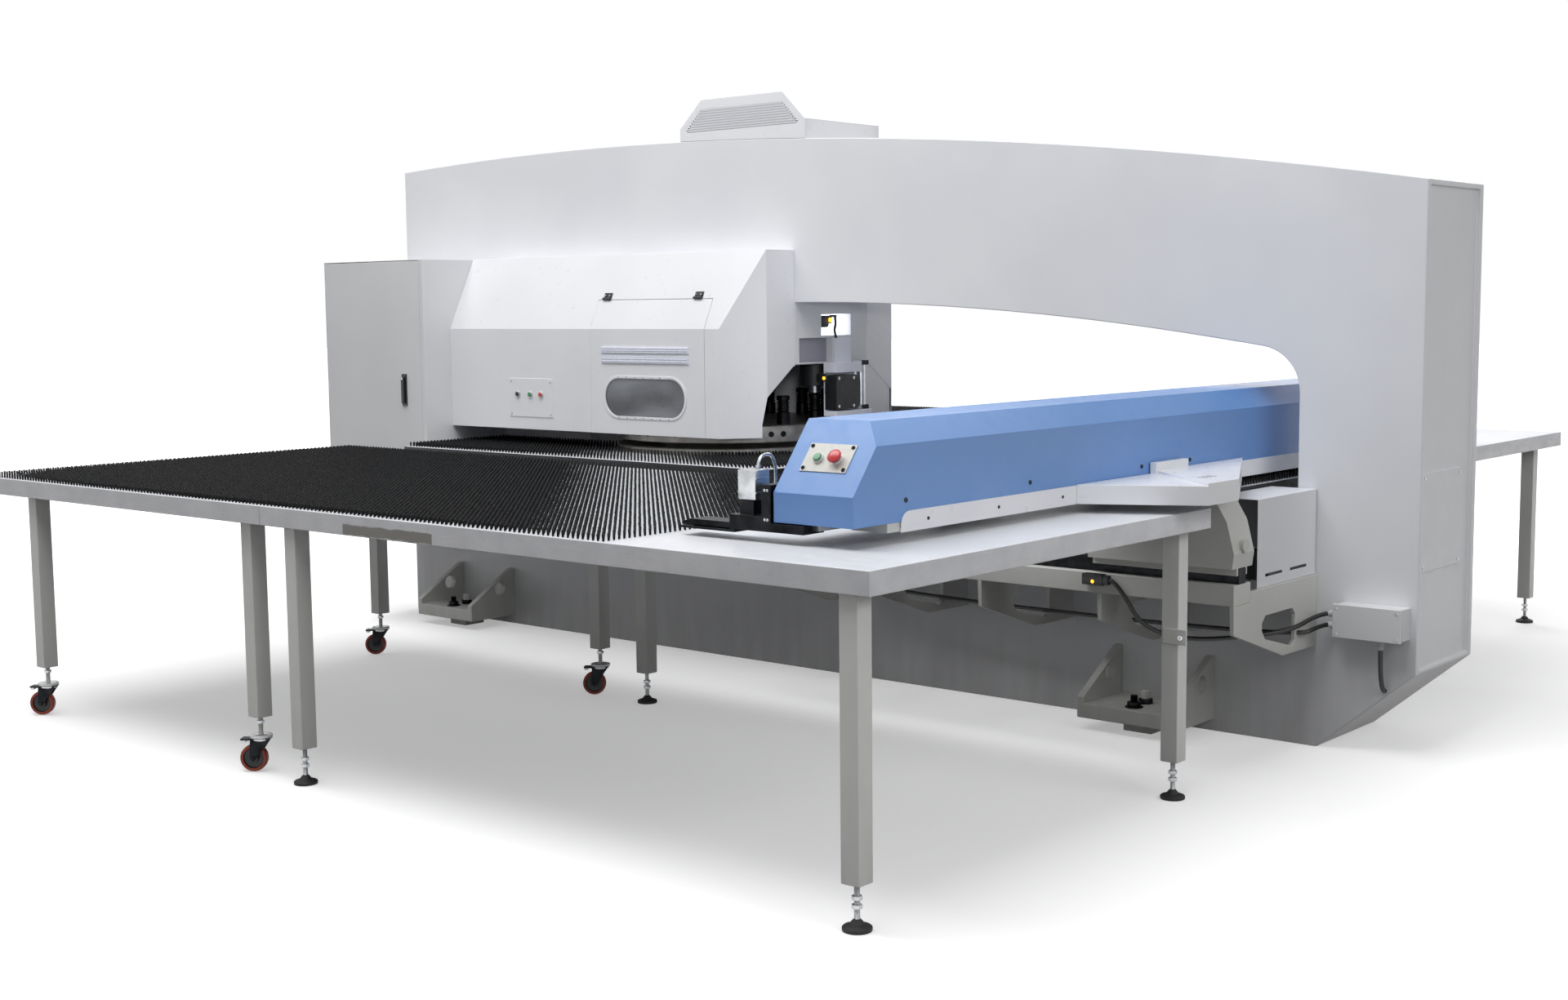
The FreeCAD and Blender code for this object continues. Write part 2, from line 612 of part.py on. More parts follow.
hood_low_left = crown_at(S.hood_left, hood_radius)
hood_low_right = crown_at(S.hood_right, hood_radius)
hood = new_body()
pad(hood, "XZ", [[
    (S.hood_right, hood_low_right), (S.hood_right, S.hood_band), (S.hood_top_right, S.hood_top),
    (S.hood_top_left, S.hood_top), (S.hood_left, S.hood_band), (S.hood_left, hood_low_left),
    Arc(hood_radius, S.crown_x, crown_centre, ccw=False)]], -S.frame_half, S.hood_back)
shell(hood, S.hood_wall,
      lambda centre, normal: centre.z < S.hood_band.value
      and S.hood_left.value + NEAR < centre.x < S.hood_right.value - NEAR)
slot_pitch = (S.grille_high - S.grille_low) / S.grille_rows
lean_left = (S.grille_high_left - S.grille_low_left) / S.grille_rows
lean_right = (S.grille_high_right - S.grille_low_right) / S.grille_rows
slots = []
for row in range(int(S.grille_rows.value)):
    low = S.grille_low + slot_pitch * row + (slot_pitch - S.grille_slot) / 2
    slots.append(rect(S.grille_low_left + lean_left * row, S.grille_low_right + lean_right * row,
                      low, low + S.grille_slot))
for panel in (-S.frame_half, S.hood_back - S.hood_wall):
    pocket(hood, "XZ", slots, panel, panel + S.hood_wall)
node("top_hood", hood)

# ---------------------------------------------------------------- electrical cabinet
wall = S.cabinet_wall
door_x0 = S.cabinet_left + wall
door_x1 = S.cabinet_right - S.cabinet_stile
door_z0 = S.cabinet_low + wall
door_z1 = S.cabinet_top - wall
cabinet = solid("XZ", [rect(S.cabinet_left, S.cabinet_right, S.cabinet_low, S.cabinet_top)],
                S.cabinet_front, -S.frame_half)
pocket(cabinet, "XZ", [rect(S.cabinet_left + wall, S.cabinet_right - wall, door_z0, door_z1)],
       S.cabinet_front + S.cabinet_door_thick + S.cabinet_door_gap, -S.frame_half - wall)
pocket(cabinet, "XZ", [rect(door_x0, door_x1, door_z0, door_z1)],
       S.cabinet_front, S.cabinet_front + S.cabinet_door_thick + S.cabinet_door_gap * 2)
node("electrical_cabinet", cabinet)
gap = S.cabinet_door_gap
lock_front = S.cabinet_front - S.lock_thick
node("cabinet_door", weld([
    box(door_x0 + gap, door_x1 - gap, S.cabinet_front, S.cabinet_front + S.cabinet_door_thick,
        door_z0 + gap, door_z1 - gap),
    box(S.lock_left, S.lock_right, lock_front, S.cabinet_front + S.lock_thick,
        S.lock_low, S.lock_top)]))
lever_x = (S.lock_left + S.lock_right) / 2
node("cabinet_handle", weld([
    box(lever_x - S.lever_width / 2, lever_x + S.lever_width / 2, lock_front - S.lever_thick,
        lock_front, S.lever_low, S.lever_pivot),
    cyl("Y", lever_x, lock_front - S.lever_thick, S.lever_pivot, S.lever_width / 2,
        S.lever_thick)]))

# ---------------------------------------------------------------- turret covers


def cover_half(wall, left, right, low):
    """Solid of the cover set in by a wall; zero gives the outside."""
    body = new_body()
    back = -S.frame_half
    front = S.cover_front + wall
    top = S.cover_top - wall
    pad(body, "YZ", [[
        (back, low), (back, top), (S.cover_shelf + wall * S.shelf_ease, top),
        (front, S.cover_fold - wall * S.fold_ease), (front, low)]], left, right)
    pocket(body, "XY", [[
        (S.cover_corner - wall * S.corner_ease_x, front), (right, front),
        (right, S.cover_shelf + wall * S.corner_ease_y)]], low, top)
    return body


def cover_body():
    """Folded sheet cover over half of the turret, open below and at the frame."""
    back = -S.frame_half
    outside = cover_half(ZERO, S.cover_left, S.cover_right, S.cover_low)
    inside = cover_half(S.cover_wall, S.cover_left + S.cover_wall,
                        S.cover_right - S.cover_wall, S.cover_low)
    gap = solid("YZ", [[
        (back, S.cut_top), (S.cut_back, S.cut_top), (S.cover_shelf, S.cut_mid),
        (S.cut_low_y, S.cut_low_z), (S.cut_low_y, S.cover_low), (back, S.cover_low)]],
        S.cover_right - S.cut_depth / 2, S.cover_right)
    return cut(outside, [inside, gap])


node("rear_turret_cover", mirrored(cover_body()))
doorway = box(S.door_left, S.door_right, S.cover_front, S.cover_shelf, S.cover_low, S.door_high)
node("turret_cover", cut(cover_body(), [doorway]))

slope = (S.cover_shelf - S.cover_front) / (S.cover_top - S.cover_fold)
hang_z = S.door_high - S.door_gap
hang_y = S.cover_front + slope * (hang_z - S.cover_fold)
door = new_body()
pad(door, "YZ", [[
    (S.cover_front, S.cover_low), (S.cover_front, S.cover_fold), (hang_y, hang_z),
    (hang_y + S.door_thick, hang_z), (S.cover_front + S.door_thick, S.cover_fold),
    (S.cover_front + S.door_thick, S.cover_low)]],
    S.door_left + S.door_gap, S.door_right - S.door_gap)
pocket(door, "XZ", [stadium(S.door_window_left, S.door_window_right, S.door_window_low,
                            S.door_window_high)],
       S.cover_front, S.cover_front + S.door_thick)
node("turret_door", door)

pane_y = S.cover_front + S.door_thick
node("door_window", box(
    S.door_window_left - S.rim_width, S.door_window_right + S.rim_width, pane_y,
    pane_y + S.pane_thick, S.door_window_low - S.rim_width, S.door_window_high + S.rim_width))
rim_front = S.cover_front - S.rim_thick
rim = solid("XZ", [
    stadium(S.door_window_left - S.rim_width, S.door_window_right + S.rim_width,
            S.door_window_low - S.rim_width, S.door_window_high + S.rim_width),
    stadium(S.door_window_left, S.door_window_right, S.door_window_low, S.door_window_high)],
    rim_front, S.cover_front)
trim = [rim]
for low in (S.strip_low, S.strip_high - S.strip_bar):
    trim.append(box(S.strip_left, S.strip_right, S.cover_front - S.strip_thick,
                    S.cover_front, low, low + S.strip_bar))
node("door_trim", group(trim))

hinges = []
lean = math.atan(slope.value)
in_y = math.cos(lean)
in_z = -math.sin(lean)
leaf_z = S.door_high + S.hinge_rise
leaf_y = S.cover_front + slope * (leaf_z - S.cover_fold)
pin_off = S.hinge_pin + S.hinge_clear
pin_y = leaf_y - pin_off * in_y
pin_z = leaf_z - pin_off * in_z
for x in (S.hinge_x_left, S.hinge_x_right):
    leaf = doc.addObject("Part::Box", "Leaf")
    bind(leaf, Length=S.hinge_half * 2, Width=S.hinge_thick, Height=S.hinge_leaf)
    leaf.Placement = FreeCAD.Placement(
        FreeCAD.Vector(), FreeCAD.Rotation(FreeCAD.Vector(1, 0, 0), -math.degrees(lean)))
    place(leaf, x - S.hinge_half, leaf_y - S.hinge_thick * in_y, leaf_z - S.hinge_thick * in_z)
    pin = cyl("X", x - S.hinge_half, pin_y, pin_z, S.hinge_pin, S.hinge_half * 2)
    hinges.append(weld([leaf, pin]))
node("door_hinges", group(hinges))

# ---------------------------------------------------------------- control plate
plate_front = S.cover_front - S.plate_thick
plate = solid("XZ", [rect(S.plate_left, S.plate_right, S.plate_low, S.plate_high)],
              plate_front, S.cover_front)
plate_parts = [plate]
BUTTONS = (("black_button", S.button_black_x), ("green_button", S.button_green_x),
           ("red_button", S.button_red_x))
collar_front = plate_front - S.button_collar_high
for name, x in BUTTONS:
    plate_parts.append(prism("Y", S.button_sides, x, collar_front, S.button_z, S.button_collar,
                             S.button_collar_high + S.plate_thick / 2))
plate_weld = weld(plate_parts)
bores = [prism("Y", S.button_sides, x, collar_front, S.button_z, S.button_radius + S.button_fit,
               S.button_collar_high + S.plate_thick) for name, x in BUTTONS]
node("control_plate", cut(plate_weld, bores))
for name, x in BUTTONS:
    node(name, prism("Y", S.button_sides, x, collar_front - S.button_high / 2, S.button_z,
                     S.button_radius, S.button_high))

# ---------------------------------------------------------------- turrets and tools
ring_angles = [2 * math.pi * index / S.stations.value for index in range(int(S.stations.value))]
seats = [(S.turret_x + S.tool_circle * math.cos(angle), S.tool_circle * math.sin(angle))
         for angle in ring_angles]
empty = len(seats) // 2  # the station opposite the punch in use holds no tool

upper = new_body()
pad(upper, "XY", [Ring(S.turret_x, ZERO, S.turret_radius)], S.upper_disc_low, S.upper_disc_high)
pocket(upper, "XY", [Ring(*seats[spot], S.tool_radius + S.tool_fit) for spot in (0, empty)],
       S.upper_disc_low, S.upper_disc_high)
pad(upper, "XY", [Ring(S.turret_x, ZERO, S.shaft_radius)], S.upper_disc_high, S.bearing_low)
node("upper_turret", upper)

lower = new_body()
pad(lower, "XY", [Ring(S.turret_x, ZERO, S.turret_radius)], S.lower_disc, S.pass_line)
pocket(lower, "XY", [Ring(*seats[0], S.die_radius)], S.lower_disc, S.pass_line)
pad(lower, "XY", [Ring(S.turret_x, ZERO, S.shaft_radius)], S.bearing_high, S.lower_disc)
node("lower_turret", lower)

ram_x = S.turret_x + S.tool_circle
block_x0 = S.turret_x - S.bearing_half
block_x1 = S.turret_x + S.bearing_half
node("bay_housings", group([
    box(block_x0, block_x1, -S.bearing_half, S.bearing_half, S.bearing_low, S.bay_top),
    box(block_x0, block_x1, -S.bearing_half, S.bearing_half, S.bay_bottom, S.bearing_high),
    solid("XY", [Ring(ram_x, ZERO, S.head_radius),
                 Ring(ram_x, ZERO, S.ram_radius + S.ram_fit)], S.head_low, S.bay_top)]))

node("active_punch", cyl("Z", *seats[0], S.tool_low, S.tool_radius, S.tool_top - S.tool_low))
node("punch_tools", group([
    prism("Z", S.tool_sides, x, y, S.upper_disc_high, S.tool_radius,
          S.tool_top - S.upper_disc_high) for x, y in seats[1:empty] + seats[empty + 1:]]))

node("ram_striker", cyl("Z", ram_x, ZERO, S.ram_low, S.ram_radius, S.ram_top - S.ram_low))

jamb = S.throat_left
plate_x = jamb + S.bracket_thick
bracket = weld([
    box(jamb, plate_x, S.bracket_y0, S.bracket_y1, S.bracket_low, S.bracket_top),
    box(jamb, plate_x, S.bracket_upper_y0, S.bracket_upper_y1, S.bracket_top,
        S.bracket_upper_top),
    box(jamb, jamb + S.bracket_reach, S.bracket_y0, S.bracket_y1, S.bracket_low,
        S.bracket_low + S.bracket_base),
    box(jamb, jamb + S.bracket_reach, S.bracket_y0, S.bracket_upper_y1, S.bracket_shelf,
        S.bracket_top)])
valve = solid("YZ", [rect(S.valve_y0, S.valve_y1, S.valve_low, S.valve_top)],
              plate_x, plate_x + S.valve_reach)
round_edges(valve, S.valve_round,
            lambda mid, along: abs(along.x) > NEAR and mid.y > S.valve_y1.value - NEAR)
node("ram_housing", valve)
index_cylinder = weld([
    cyl("Z", S.index_x, S.index_y, S.index_low, S.index_radius, S.index_top - S.index_low),
    box(S.index_x - S.index_cap, S.index_x + S.index_cap, S.index_y - S.index_cap,
        S.index_y + S.index_cap, S.index_low - S.index_radius, S.index_low),
    box(S.index_x - S.index_cap, S.index_x + S.index_cap, S.index_y - S.index_cap,
        S.index_y + S.index_cap, S.index_top, S.index_top + S.index_radius)])
node("ram_bracket", group([bracket, index_cylinder]))

# ---------------------------------------------------------------- tables


def table(x0, x1, y0, y1, leg_xs, leg_ys, leg_low):
    """Sheet tray with folded rims on square legs."""
    low = S.table_top - S.table_rim
    tray = solid("XY", [rect(x0, x1, y0, y1)], low, S.table_top)
    thick = S.table_sheet
    pocket(tray, "XY", [rect(x0 + thick, x1 - thick, y0 + thick, y1 - thick)],
           low, S.table_top - thick)
    parts = [tray]
    for x in leg_xs:
        for y in leg_ys:
            parts.append(box(x - S.leg_half, x + S.leg_half, y - S.leg_half, y + S.leg_half,
                             leg_low, S.table_top - thick))
    return parts


LEG_YS = (S.leg_front_y, S.leg_back_y)
CASTER_YS = (S.caster_leg_y, S.leg_back_y)
LEFT_LEGS = (S.leg_left_x0, S.leg_left_x1)
RIGHT_LEGS = (S.leg_right_x0, S.leg_right_x1)
REAR_LEGS = (S.rear_leg_x0, S.rear_leg_x1, S.rear_leg_x2)
REAR_YS = (-S.leg_back_y, S.rear_leg_far)

left_parts = table(S.table_left, S.table_split - S.table_gap, S.table_front, S.table_back,
                   LEFT_LEGS, CASTER_YS, S.caster_leg_low)
for x in LEFT_LEGS:
    for y in CASTER_YS:
        left_parts.append(prism("Z", HEX, x, y, S.swivel_high, S.stem_radius,
                                S.caster_leg_low - S.swivel_high))
        left_parts.append(prism("Z", S.pad_sides, x, y, S.swivel_low, S.swivel_radius,
                                S.swivel_high - S.swivel_low))
node("front_table_left", weld(left_parts))

right_parts = table(S.table_split + S.table_gap, S.table_right, S.table_front, S.table_back,
                    RIGHT_LEGS, LEG_YS, S.foot_leg_low)
tie_y = S.leg_back_y - S.leg_half
right_parts.append(box(S.tie_x0, S.tie_x1, tie_y - S.tie_thick, tie_y, S.tie_low, S.tie_high))
node("front_table_right", weld(right_parts))
node("rear_table", weld(table(S.table_left, S.rear_table_right, -S.table_back, -S.table_front,
                              REAR_LEGS, REAR_YS, S.foot_leg_low)))

levellers = []
places = [(x, y) for x in RIGHT_LEGS for y in LEG_YS] + [(x, y) for x in REAR_LEGS for y in REAR_YS]
for x, y in places:
    levellers.append(weld([
        prism("Z", HEX, x, y, S.pad_high, S.stem_radius, S.foot_leg_low - S.pad_high),
        prism("Z", S.pad_sides, x, y, ZERO, S.pad_radius, S.pad_high)]))
node("levelling_feet", group(levellers))


# ---------------------------------------------------------------- casters
def turned(item, x, y):
    """Stand a caster piece at its leg, swung by the caster angle."""
    item.Placement = FreeCAD.Placement(
        FreeCAD.Vector(), FreeCAD.Rotation(FreeCAD.Vector(0, 0, 1), S.caster_angle.value))
    place(item, x, y, ZERO)
    return item


CASTERS = [(x, y) for x in LEFT_LEGS for y in CASTER_YS]
for index, (x, y) in enumerate(CASTERS, 1):
    inner = S.wheel_width / 2 + S.fork_gap
    outer = inner + S.fork_sheet
    wheel_x = -S.caster_trail
    parts = []
    for y0 in (-outer, inner):
        parts.append(solid("XZ", [[
            (S.fork_half, S.fork_top), (-S.fork_half, S.fork_top),
            (wheel_x - S.axle_head, S.wheel_radius), (wheel_x, S.wheel_radius - S.axle_head),
            (wheel_x + S.axle_head, S.wheel_radius)]], y0, y0 + S.fork_sheet))
    parts.append(box(-S.fork_half, S.fork_half, -outer, outer, S.fork_top - S.fork_sheet,
                     S.fork_top))
    parts.append(prism("Y", HEX, wheel_x, -outer - S.fork_sheet, S.wheel_radius, S.axle_radius,
                       (outer + S.fork_sheet) * 2))
    parts.append(box(-S.fork_half - S.brake_length, -S.fork_half + S.fork_sheet,
                     -S.brake_width / 2, S.brake_width / 2, S.fork_top - S.brake_high,
                     S.fork_top))
    node(f"caster_fork_{index}", turned(weld(parts), x, y))
    half = S.wheel_width / 2
    tread = prism("Y", S.wheel_sides, wheel_x, -half, S.wheel_radius, S.wheel_radius,
                  S.wheel_width)
    bore = prism("Y", S.bore_sides, wheel_x, -half, S.wheel_radius, S.wheel_bore, S.wheel_width)
    node(f"caster_wheel_{index}", turned(cut(tread, [bore]), x, y))

# ---------------------------------------------------------------- centre table
edge = S.frame_half + S.centre_clear
rim_low = S.table_top - S.table_rim


def centre_plan(inset):
    """Plan of the table round the turret and through the throat, set in by a wall."""
    left = S.centre_left + inset
    front = S.centre_front + inset
    step_x = S.centre_step_x - inset
    step_y = S.centre_step_y + inset
    right = S.centre_right - inset
    back = -edge - inset
    throat = S.throat_left + S.centre_clear + inset
    return [(left, front), (step_x, front), (step_x, step_y), (right, step_y),
            (right, -step_y), (step_x, -step_y), (step_x, -front), (left, -front),
            (left, -back), (throat, -back), (throat, back), (left, back)]


centre = new_body()
pad(centre, "XY", [centre_plan(ZERO)], rim_low, S.table_top)
pocket(centre, "XY", [centre_plan(S.table_sheet)], rim_low, S.table_top - S.table_sheet)
pocket(centre, "XY", [Ring(S.turret_x, ZERO, S.turret_radius + S.disc_clear)], rim_low,
       S.table_top)
centre_parts = [centre]
for arm_x in (S.arm_left, S.arm_right):
    for y0, y1 in ((S.centre_front + S.table_sheet, -S.frame_half),
                   (S.frame_half, -S.centre_front - S.table_sheet)):
        centre_parts.append(box(arm_x, arm_x + S.arm_width, y0, y1, rim_low - S.arm_high,
                                S.table_top - S.table_sheet))
for block_x in (S.throat_left + S.sill_block, S.sill_block_x, S.centre_right - S.sill_block * 2):
    centre_parts.append(box(block_x, block_x + S.sill_block, -S.sill_block, S.sill_block,
                            S.throat_sill, S.table_top - S.table_sheet))
node("centre_table", weld(centre_parts))


# ---------------------------------------------------------------- brushes
def ridge(x0, x1, y):
    """One row of bristle tufts standing on the table sheet."""
    return box(x0, x1, y - S.brush_ridge / 2, y + S.brush_ridge / 2, S.table_top, S.brush_tip)


depth = S.table_back - S.table_front - S.brush_margin * 2
rows = int(depth.value // S.brush_pitch.value) + 1
skip = int(S.brush_skip.value)
front_rows = [S.table_front + S.brush_margin + S.brush_pitch * row
              for row in range(0, rows, skip)]
node("front_brushes", group([ridge(S.brush_left, S.brush_right, y) for y in front_rows]))
node("rear_brushes", group([ridge(S.brush_left, S.brush_right, -y) for y in front_rows]))

centre_ridges = []
clear_radius = S.turret_radius + S.disc_clear + S.brush_ridge
span = -S.centre_front - S.brush_margin
half_rows = int(span.value // (S.brush_pitch.value * skip)) * skip
for row in range(-half_rows, half_rows + 1, skip):
    y = S.brush_pitch * row
    reach = abs(y.value)
    stretches = []
    if reach < -S.centre_step_y.value:
        right = S.centre_right - S.brush_margin
    else:
        right = S.centre_step_x - S.brush_margin
    if reach < clear_radius.value:
        chord = Dim(0, "0") + math.sqrt(clear_radius.value ** 2 - reach ** 2)
        stretches.append((S.turret_x + chord, right))
        if reach > edge.value + S.brush_ridge.value:
            stretches.append((S.centre_left + S.brush_margin, S.turret_x - chord))
        if reach < edge.value + S.brush_ridge.value:
            stretches[0] = (S.throat_left + S.brush_margin * 2, right)
    else:
        stretches.append((S.centre_left + S.brush_margin, right))
    centre_ridges += [ridge(x0, x1, y) for x0, x1 in stretches]
node("centre_brushes", group(centre_ridges))

# ---------------------------------------------------------------- Y axis
beam_front = box(S.rail_beam_left, S.rail_beam_right, S.rail_beam_front, S.rail_beam_back,
                 S.rail_beam_low, S.rail_beam_top)
node("y_rail_beams", group([beam_front, mirrored(beam_front)]))
rail_front = box(S.rail_beam_left, S.rail_beam_right, S.rail_y - S.rail_half,
                 S.rail_y + S.rail_half, S.rail_beam_top, S.rail_top)
node("y_rails", group([rail_front, mirrored(rail_front)]))

hole_y0 = S.console_hole_y0
hole_y1 = S.console_hole_y1
hole_cut = S.console_hole_cut
fall = (S.console_hole_mid - S.console_hole_low) / (hole_y1 - hole_y0)
consoles = []
for index in range(int(S.console_count.value)):
    x = S.console_first + S.console_pitch * index - S.console_thick / 2
    console = solid("YZ", [[
        (S.rail_beam_front, S.rail_beam_low), (S.console_low_y, S.console_low_z),
        (S.console_knee_y, S.console_knee_z), (S.console_foot_y, S.console_foot_z),
        (-S.frame_half, S.console_foot_z), (-S.frame_half, S.console_top),
        (S.rail_beam_back, S.console_top), (S.rail_beam_back, S.rail_beam_low)]],
        x, x + S.console_thick)
    pocket(console, "YZ", [[
        (hole_y0, S.console_hole_mid + hole_cut),
        (hole_y0 + hole_cut, S.console_hole_mid - fall * hole_cut),
        (hole_y1 - hole_cut, S.console_hole_low + fall * hole_cut),
        (hole_y1, S.console_hole_low + hole_cut), (hole_y1, S.console_hole_top - hole_cut),
        (hole_y1 - hole_cut, S.console_hole_top), (hole_y0 + hole_cut, S.console_hole_top),
        (hole_y0, S.console_hole_top - hole_cut)]], x, x + S.console_thick)
    consoles += [console, mirrored(console)]
for x in (S.console_first - S.block_thick / 2,
          S.guard_left - S.block_thick - S.block_thick / 2):
    consoles.append(solid("YZ", [rect(S.screw_y - S.block_half, S.screw_y + S.block_half,
                                      S.console_top, S.block_top),
                                 Ring(S.screw_y, S.screw_z, S.screw_radius + S.screw_fit)],
                          x, x + S.block_thick))
node("rail_brackets", group(consoles))

rail_seat = S.rail_top + S.rail_fit


def carriage_parts():
    """Casting that rides the rail and carries the beam."""
    body = solid("XZ", [[
        (S.carriage_left, rail_seat), (S.carriage_right, rail_seat),
        (S.carriage_bulge_x, S.carriage_bulge_z), (S.carriage_waist_x, S.carriage_waist_z),
        (S.carriage_shoulder_x, S.carriage_shoulder_z), (S.carriage_seat_x1, S.carriage_shoulder_z),
        (S.carriage_seat_x1, S.carriage_seat_z), (S.carriage_seat_x0, S.carriage_seat_z),
        (S.carriage_neck_x, S.carriage_neck_z), (S.carriage_heel_x, S.carriage_flange),
        (S.carriage_left, S.carriage_flange)]], S.carriage_front, S.carriage_back)
    parts = [body]
    inner = S.rail_half + S.rail_fit
    for y0 in (S.rail_y - inner - S.carriage_lip, S.rail_y + inner):
        parts.append(box(S.carriage_left, S.carriage_right, y0, y0 + S.carriage_lip,
                         S.carriage_lip_low, S.carriage_flange))
    parts.append(cyl("X", S.boss_x - S.boss_reach, S.rail_y, S.boss_z, S.boss_radius,
                     S.boss_reach))
    return parts


rear_carriage = mirrored(weld(carriage_parts()))
arm = box(S.nut_arm_x0, S.nut_arm_x1, S.carriage_back - S.carriage_lip,
          S.screw_y + S.nut_arm_half, rail_seat, S.carriage_flange)
nut_block = box(S.nut_arm_x0, S.nut_arm_x1, S.screw_y - S.nut_arm_half,
                S.screw_y + S.nut_arm_half, S.nut_arm_low, S.carriage_flange)
front_carriage = cut(weld(carriage_parts() + [arm, nut_block]), [
    cyl("X", S.nut_arm_x0, S.screw_y, S.screw_z, S.screw_radius + S.screw_fit,
        S.nut_arm_x1 - S.nut_arm_x0)])
node("y_carriages", group([front_carriage, rear_carriage]))

node("y_ball_screw", cyl("X", S.screw_left, S.screw_y, S.screw_z, S.screw_radius,
                         S.screw_right - S.screw_left))
motor = weld([
    box(S.motor_left, S.motor_left + S.motor_flange, S.screw_y - S.motor_half,
        S.screw_y + S.motor_half, S.screw_z - S.motor_half, S.screw_z + S.motor_half),
    box(S.motor_left + S.motor_flange, S.motor_right, S.screw_y - S.motor_body_half,
        S.screw_y + S.motor_body_half, S.screw_z - S.motor_body_half,
        S.screw_z + S.motor_body_half)])
node("y_servo_motor", motor)

guard = solid("YZ", [rect(S.guard_front, S.guard_back, S.guard_low, S.guard_top)],
              S.guard_left, S.guard_right)
shell(guard, S.guard_wall, lambda centre, normal: normal.y < -FACING or normal.z < -FACING)
slots = []
for y in (S.guard_slot_y0, S.guard_slot_y0 + S.guard_slot_pitch):
    slots.append(rect(y, y + S.guard_slot_y1 - S.guard_slot_y0, S.guard_slot_z,
                      S.guard_slot_z + S.guard_slot_high))
pocket(guard, "YZ", slots, S.guard_right - S.guard_wall, S.guard_right)
port = S.guard_port
pocket(guard, "YZ", [rect(S.screw_y - port, S.screw_y + port, S.screw_z - port,
                          S.screw_z + port)], S.guard_left, S.guard_left + S.guard_wall)
node("y_drive_cover", guard)

# ---------------------------------------------------------------- X beam
beam_parts = [box(S.beam_left, S.beam_right, S.beam_front, S.beam_rear, S.beam_low, S.beam_top)]
for z in (S.guide_low_z, S.guide_top_z):
    beam_parts.append(box(S.beam_left - S.guide_thick, S.beam_left, S.beam_front, S.beam_rear,
                          z, z + S.guide_high))
skirt = solid("YZ", [rect(S.skirt_front, S.skirt_rear, S.skirt_low, S.skirt_top)],
              S.skirt_left, S.skirt_right)
round_edges(skirt, S.skirt_round,
            lambda mid, along: abs(along.x) > NEAR and mid.z > S.skirt_top.value - NEAR)
beam_parts.append(skirt)
beam_parts.append(box(S.beam_right - S.skirt_tab, S.skirt_right, S.skirt_front, S.skirt_rear,
                      S.beam_low, S.beam_low + S.skirt_tab))
node("x_beam", weld(beam_parts))

shell_body = new_body()
pad(shell_body, "XZ", [[
    (S.shell_left, S.shell_low), (S.shell_right, S.shell_low),
    (S.shell_right, S.shell_chamfer_z), (S.shell_chamfer_x, S.shell_top),
    (S.shell_left, S.shell_top)]], S.shell_front, S.shell_rear)
pocket(shell_body, "YZ", [
    [(S.shell_front, S.shell_band), (S.shell_slant_y, S.shell_top),
     (S.shell_front, S.shell_top)],
    [(S.shell_rear, S.shell_band), (S.shell_rear, S.shell_top),
     (S.shell_rear - S.shell_slant_y + S.shell_front, S.shell_top)]],
    S.shell_left, S.shell_right)
shell(shell_body, S.shell_wall, lambda centre, normal: normal.z < -FACING)
node("x_beam_cover", shell_body)

wedge = new_body()
pad(wedge, "XY", [[
    (S.wedge_x0, S.wedge_y0), (S.wedge_x1, S.wedge_y1), (S.wedge_x2, S.wedge_y2),
    (S.wedge_x0, S.wedge_y3)]], S.wedge_low, S.wedge_top)
pad(wedge, "XY", [[
    (S.wedge_x0, S.ridge_y0), (S.ridge_x1, S.ridge_y1), (S.wedge_x1, S.wedge_y1),
    (S.wedge_x2, S.wedge_y2), (S.wedge_x0, S.wedge_y3)]], S.wedge_top, S.ridge_top)
pad(wedge, "XY", [rect(S.wedge_x0, S.wedge_x0 + S.upstand_thick, S.upstand_y0, S.upstand_y1)],
    S.wedge_top, S.upstand_top)
vents = []
for y in (S.vent_y - S.vent_pitch, S.vent_y, S.vent_y + S.vent_pitch):
    vents.append(rect(S.vent_x, S.vent_x + S.vent_long, y, y + S.vent_wide))
pocket(wedge, "XY", vents, S.ridge_top - S.vent_deep, S.ridge_top)
node("drive_cover", wedge)

# ---------------------------------------------------------------- X carriage and clamps
node("x_carriage", box(S.slide_left, S.slide_right, S.slide_y0, S.slide_y1, S.slide_low,
                       S.slide_top))

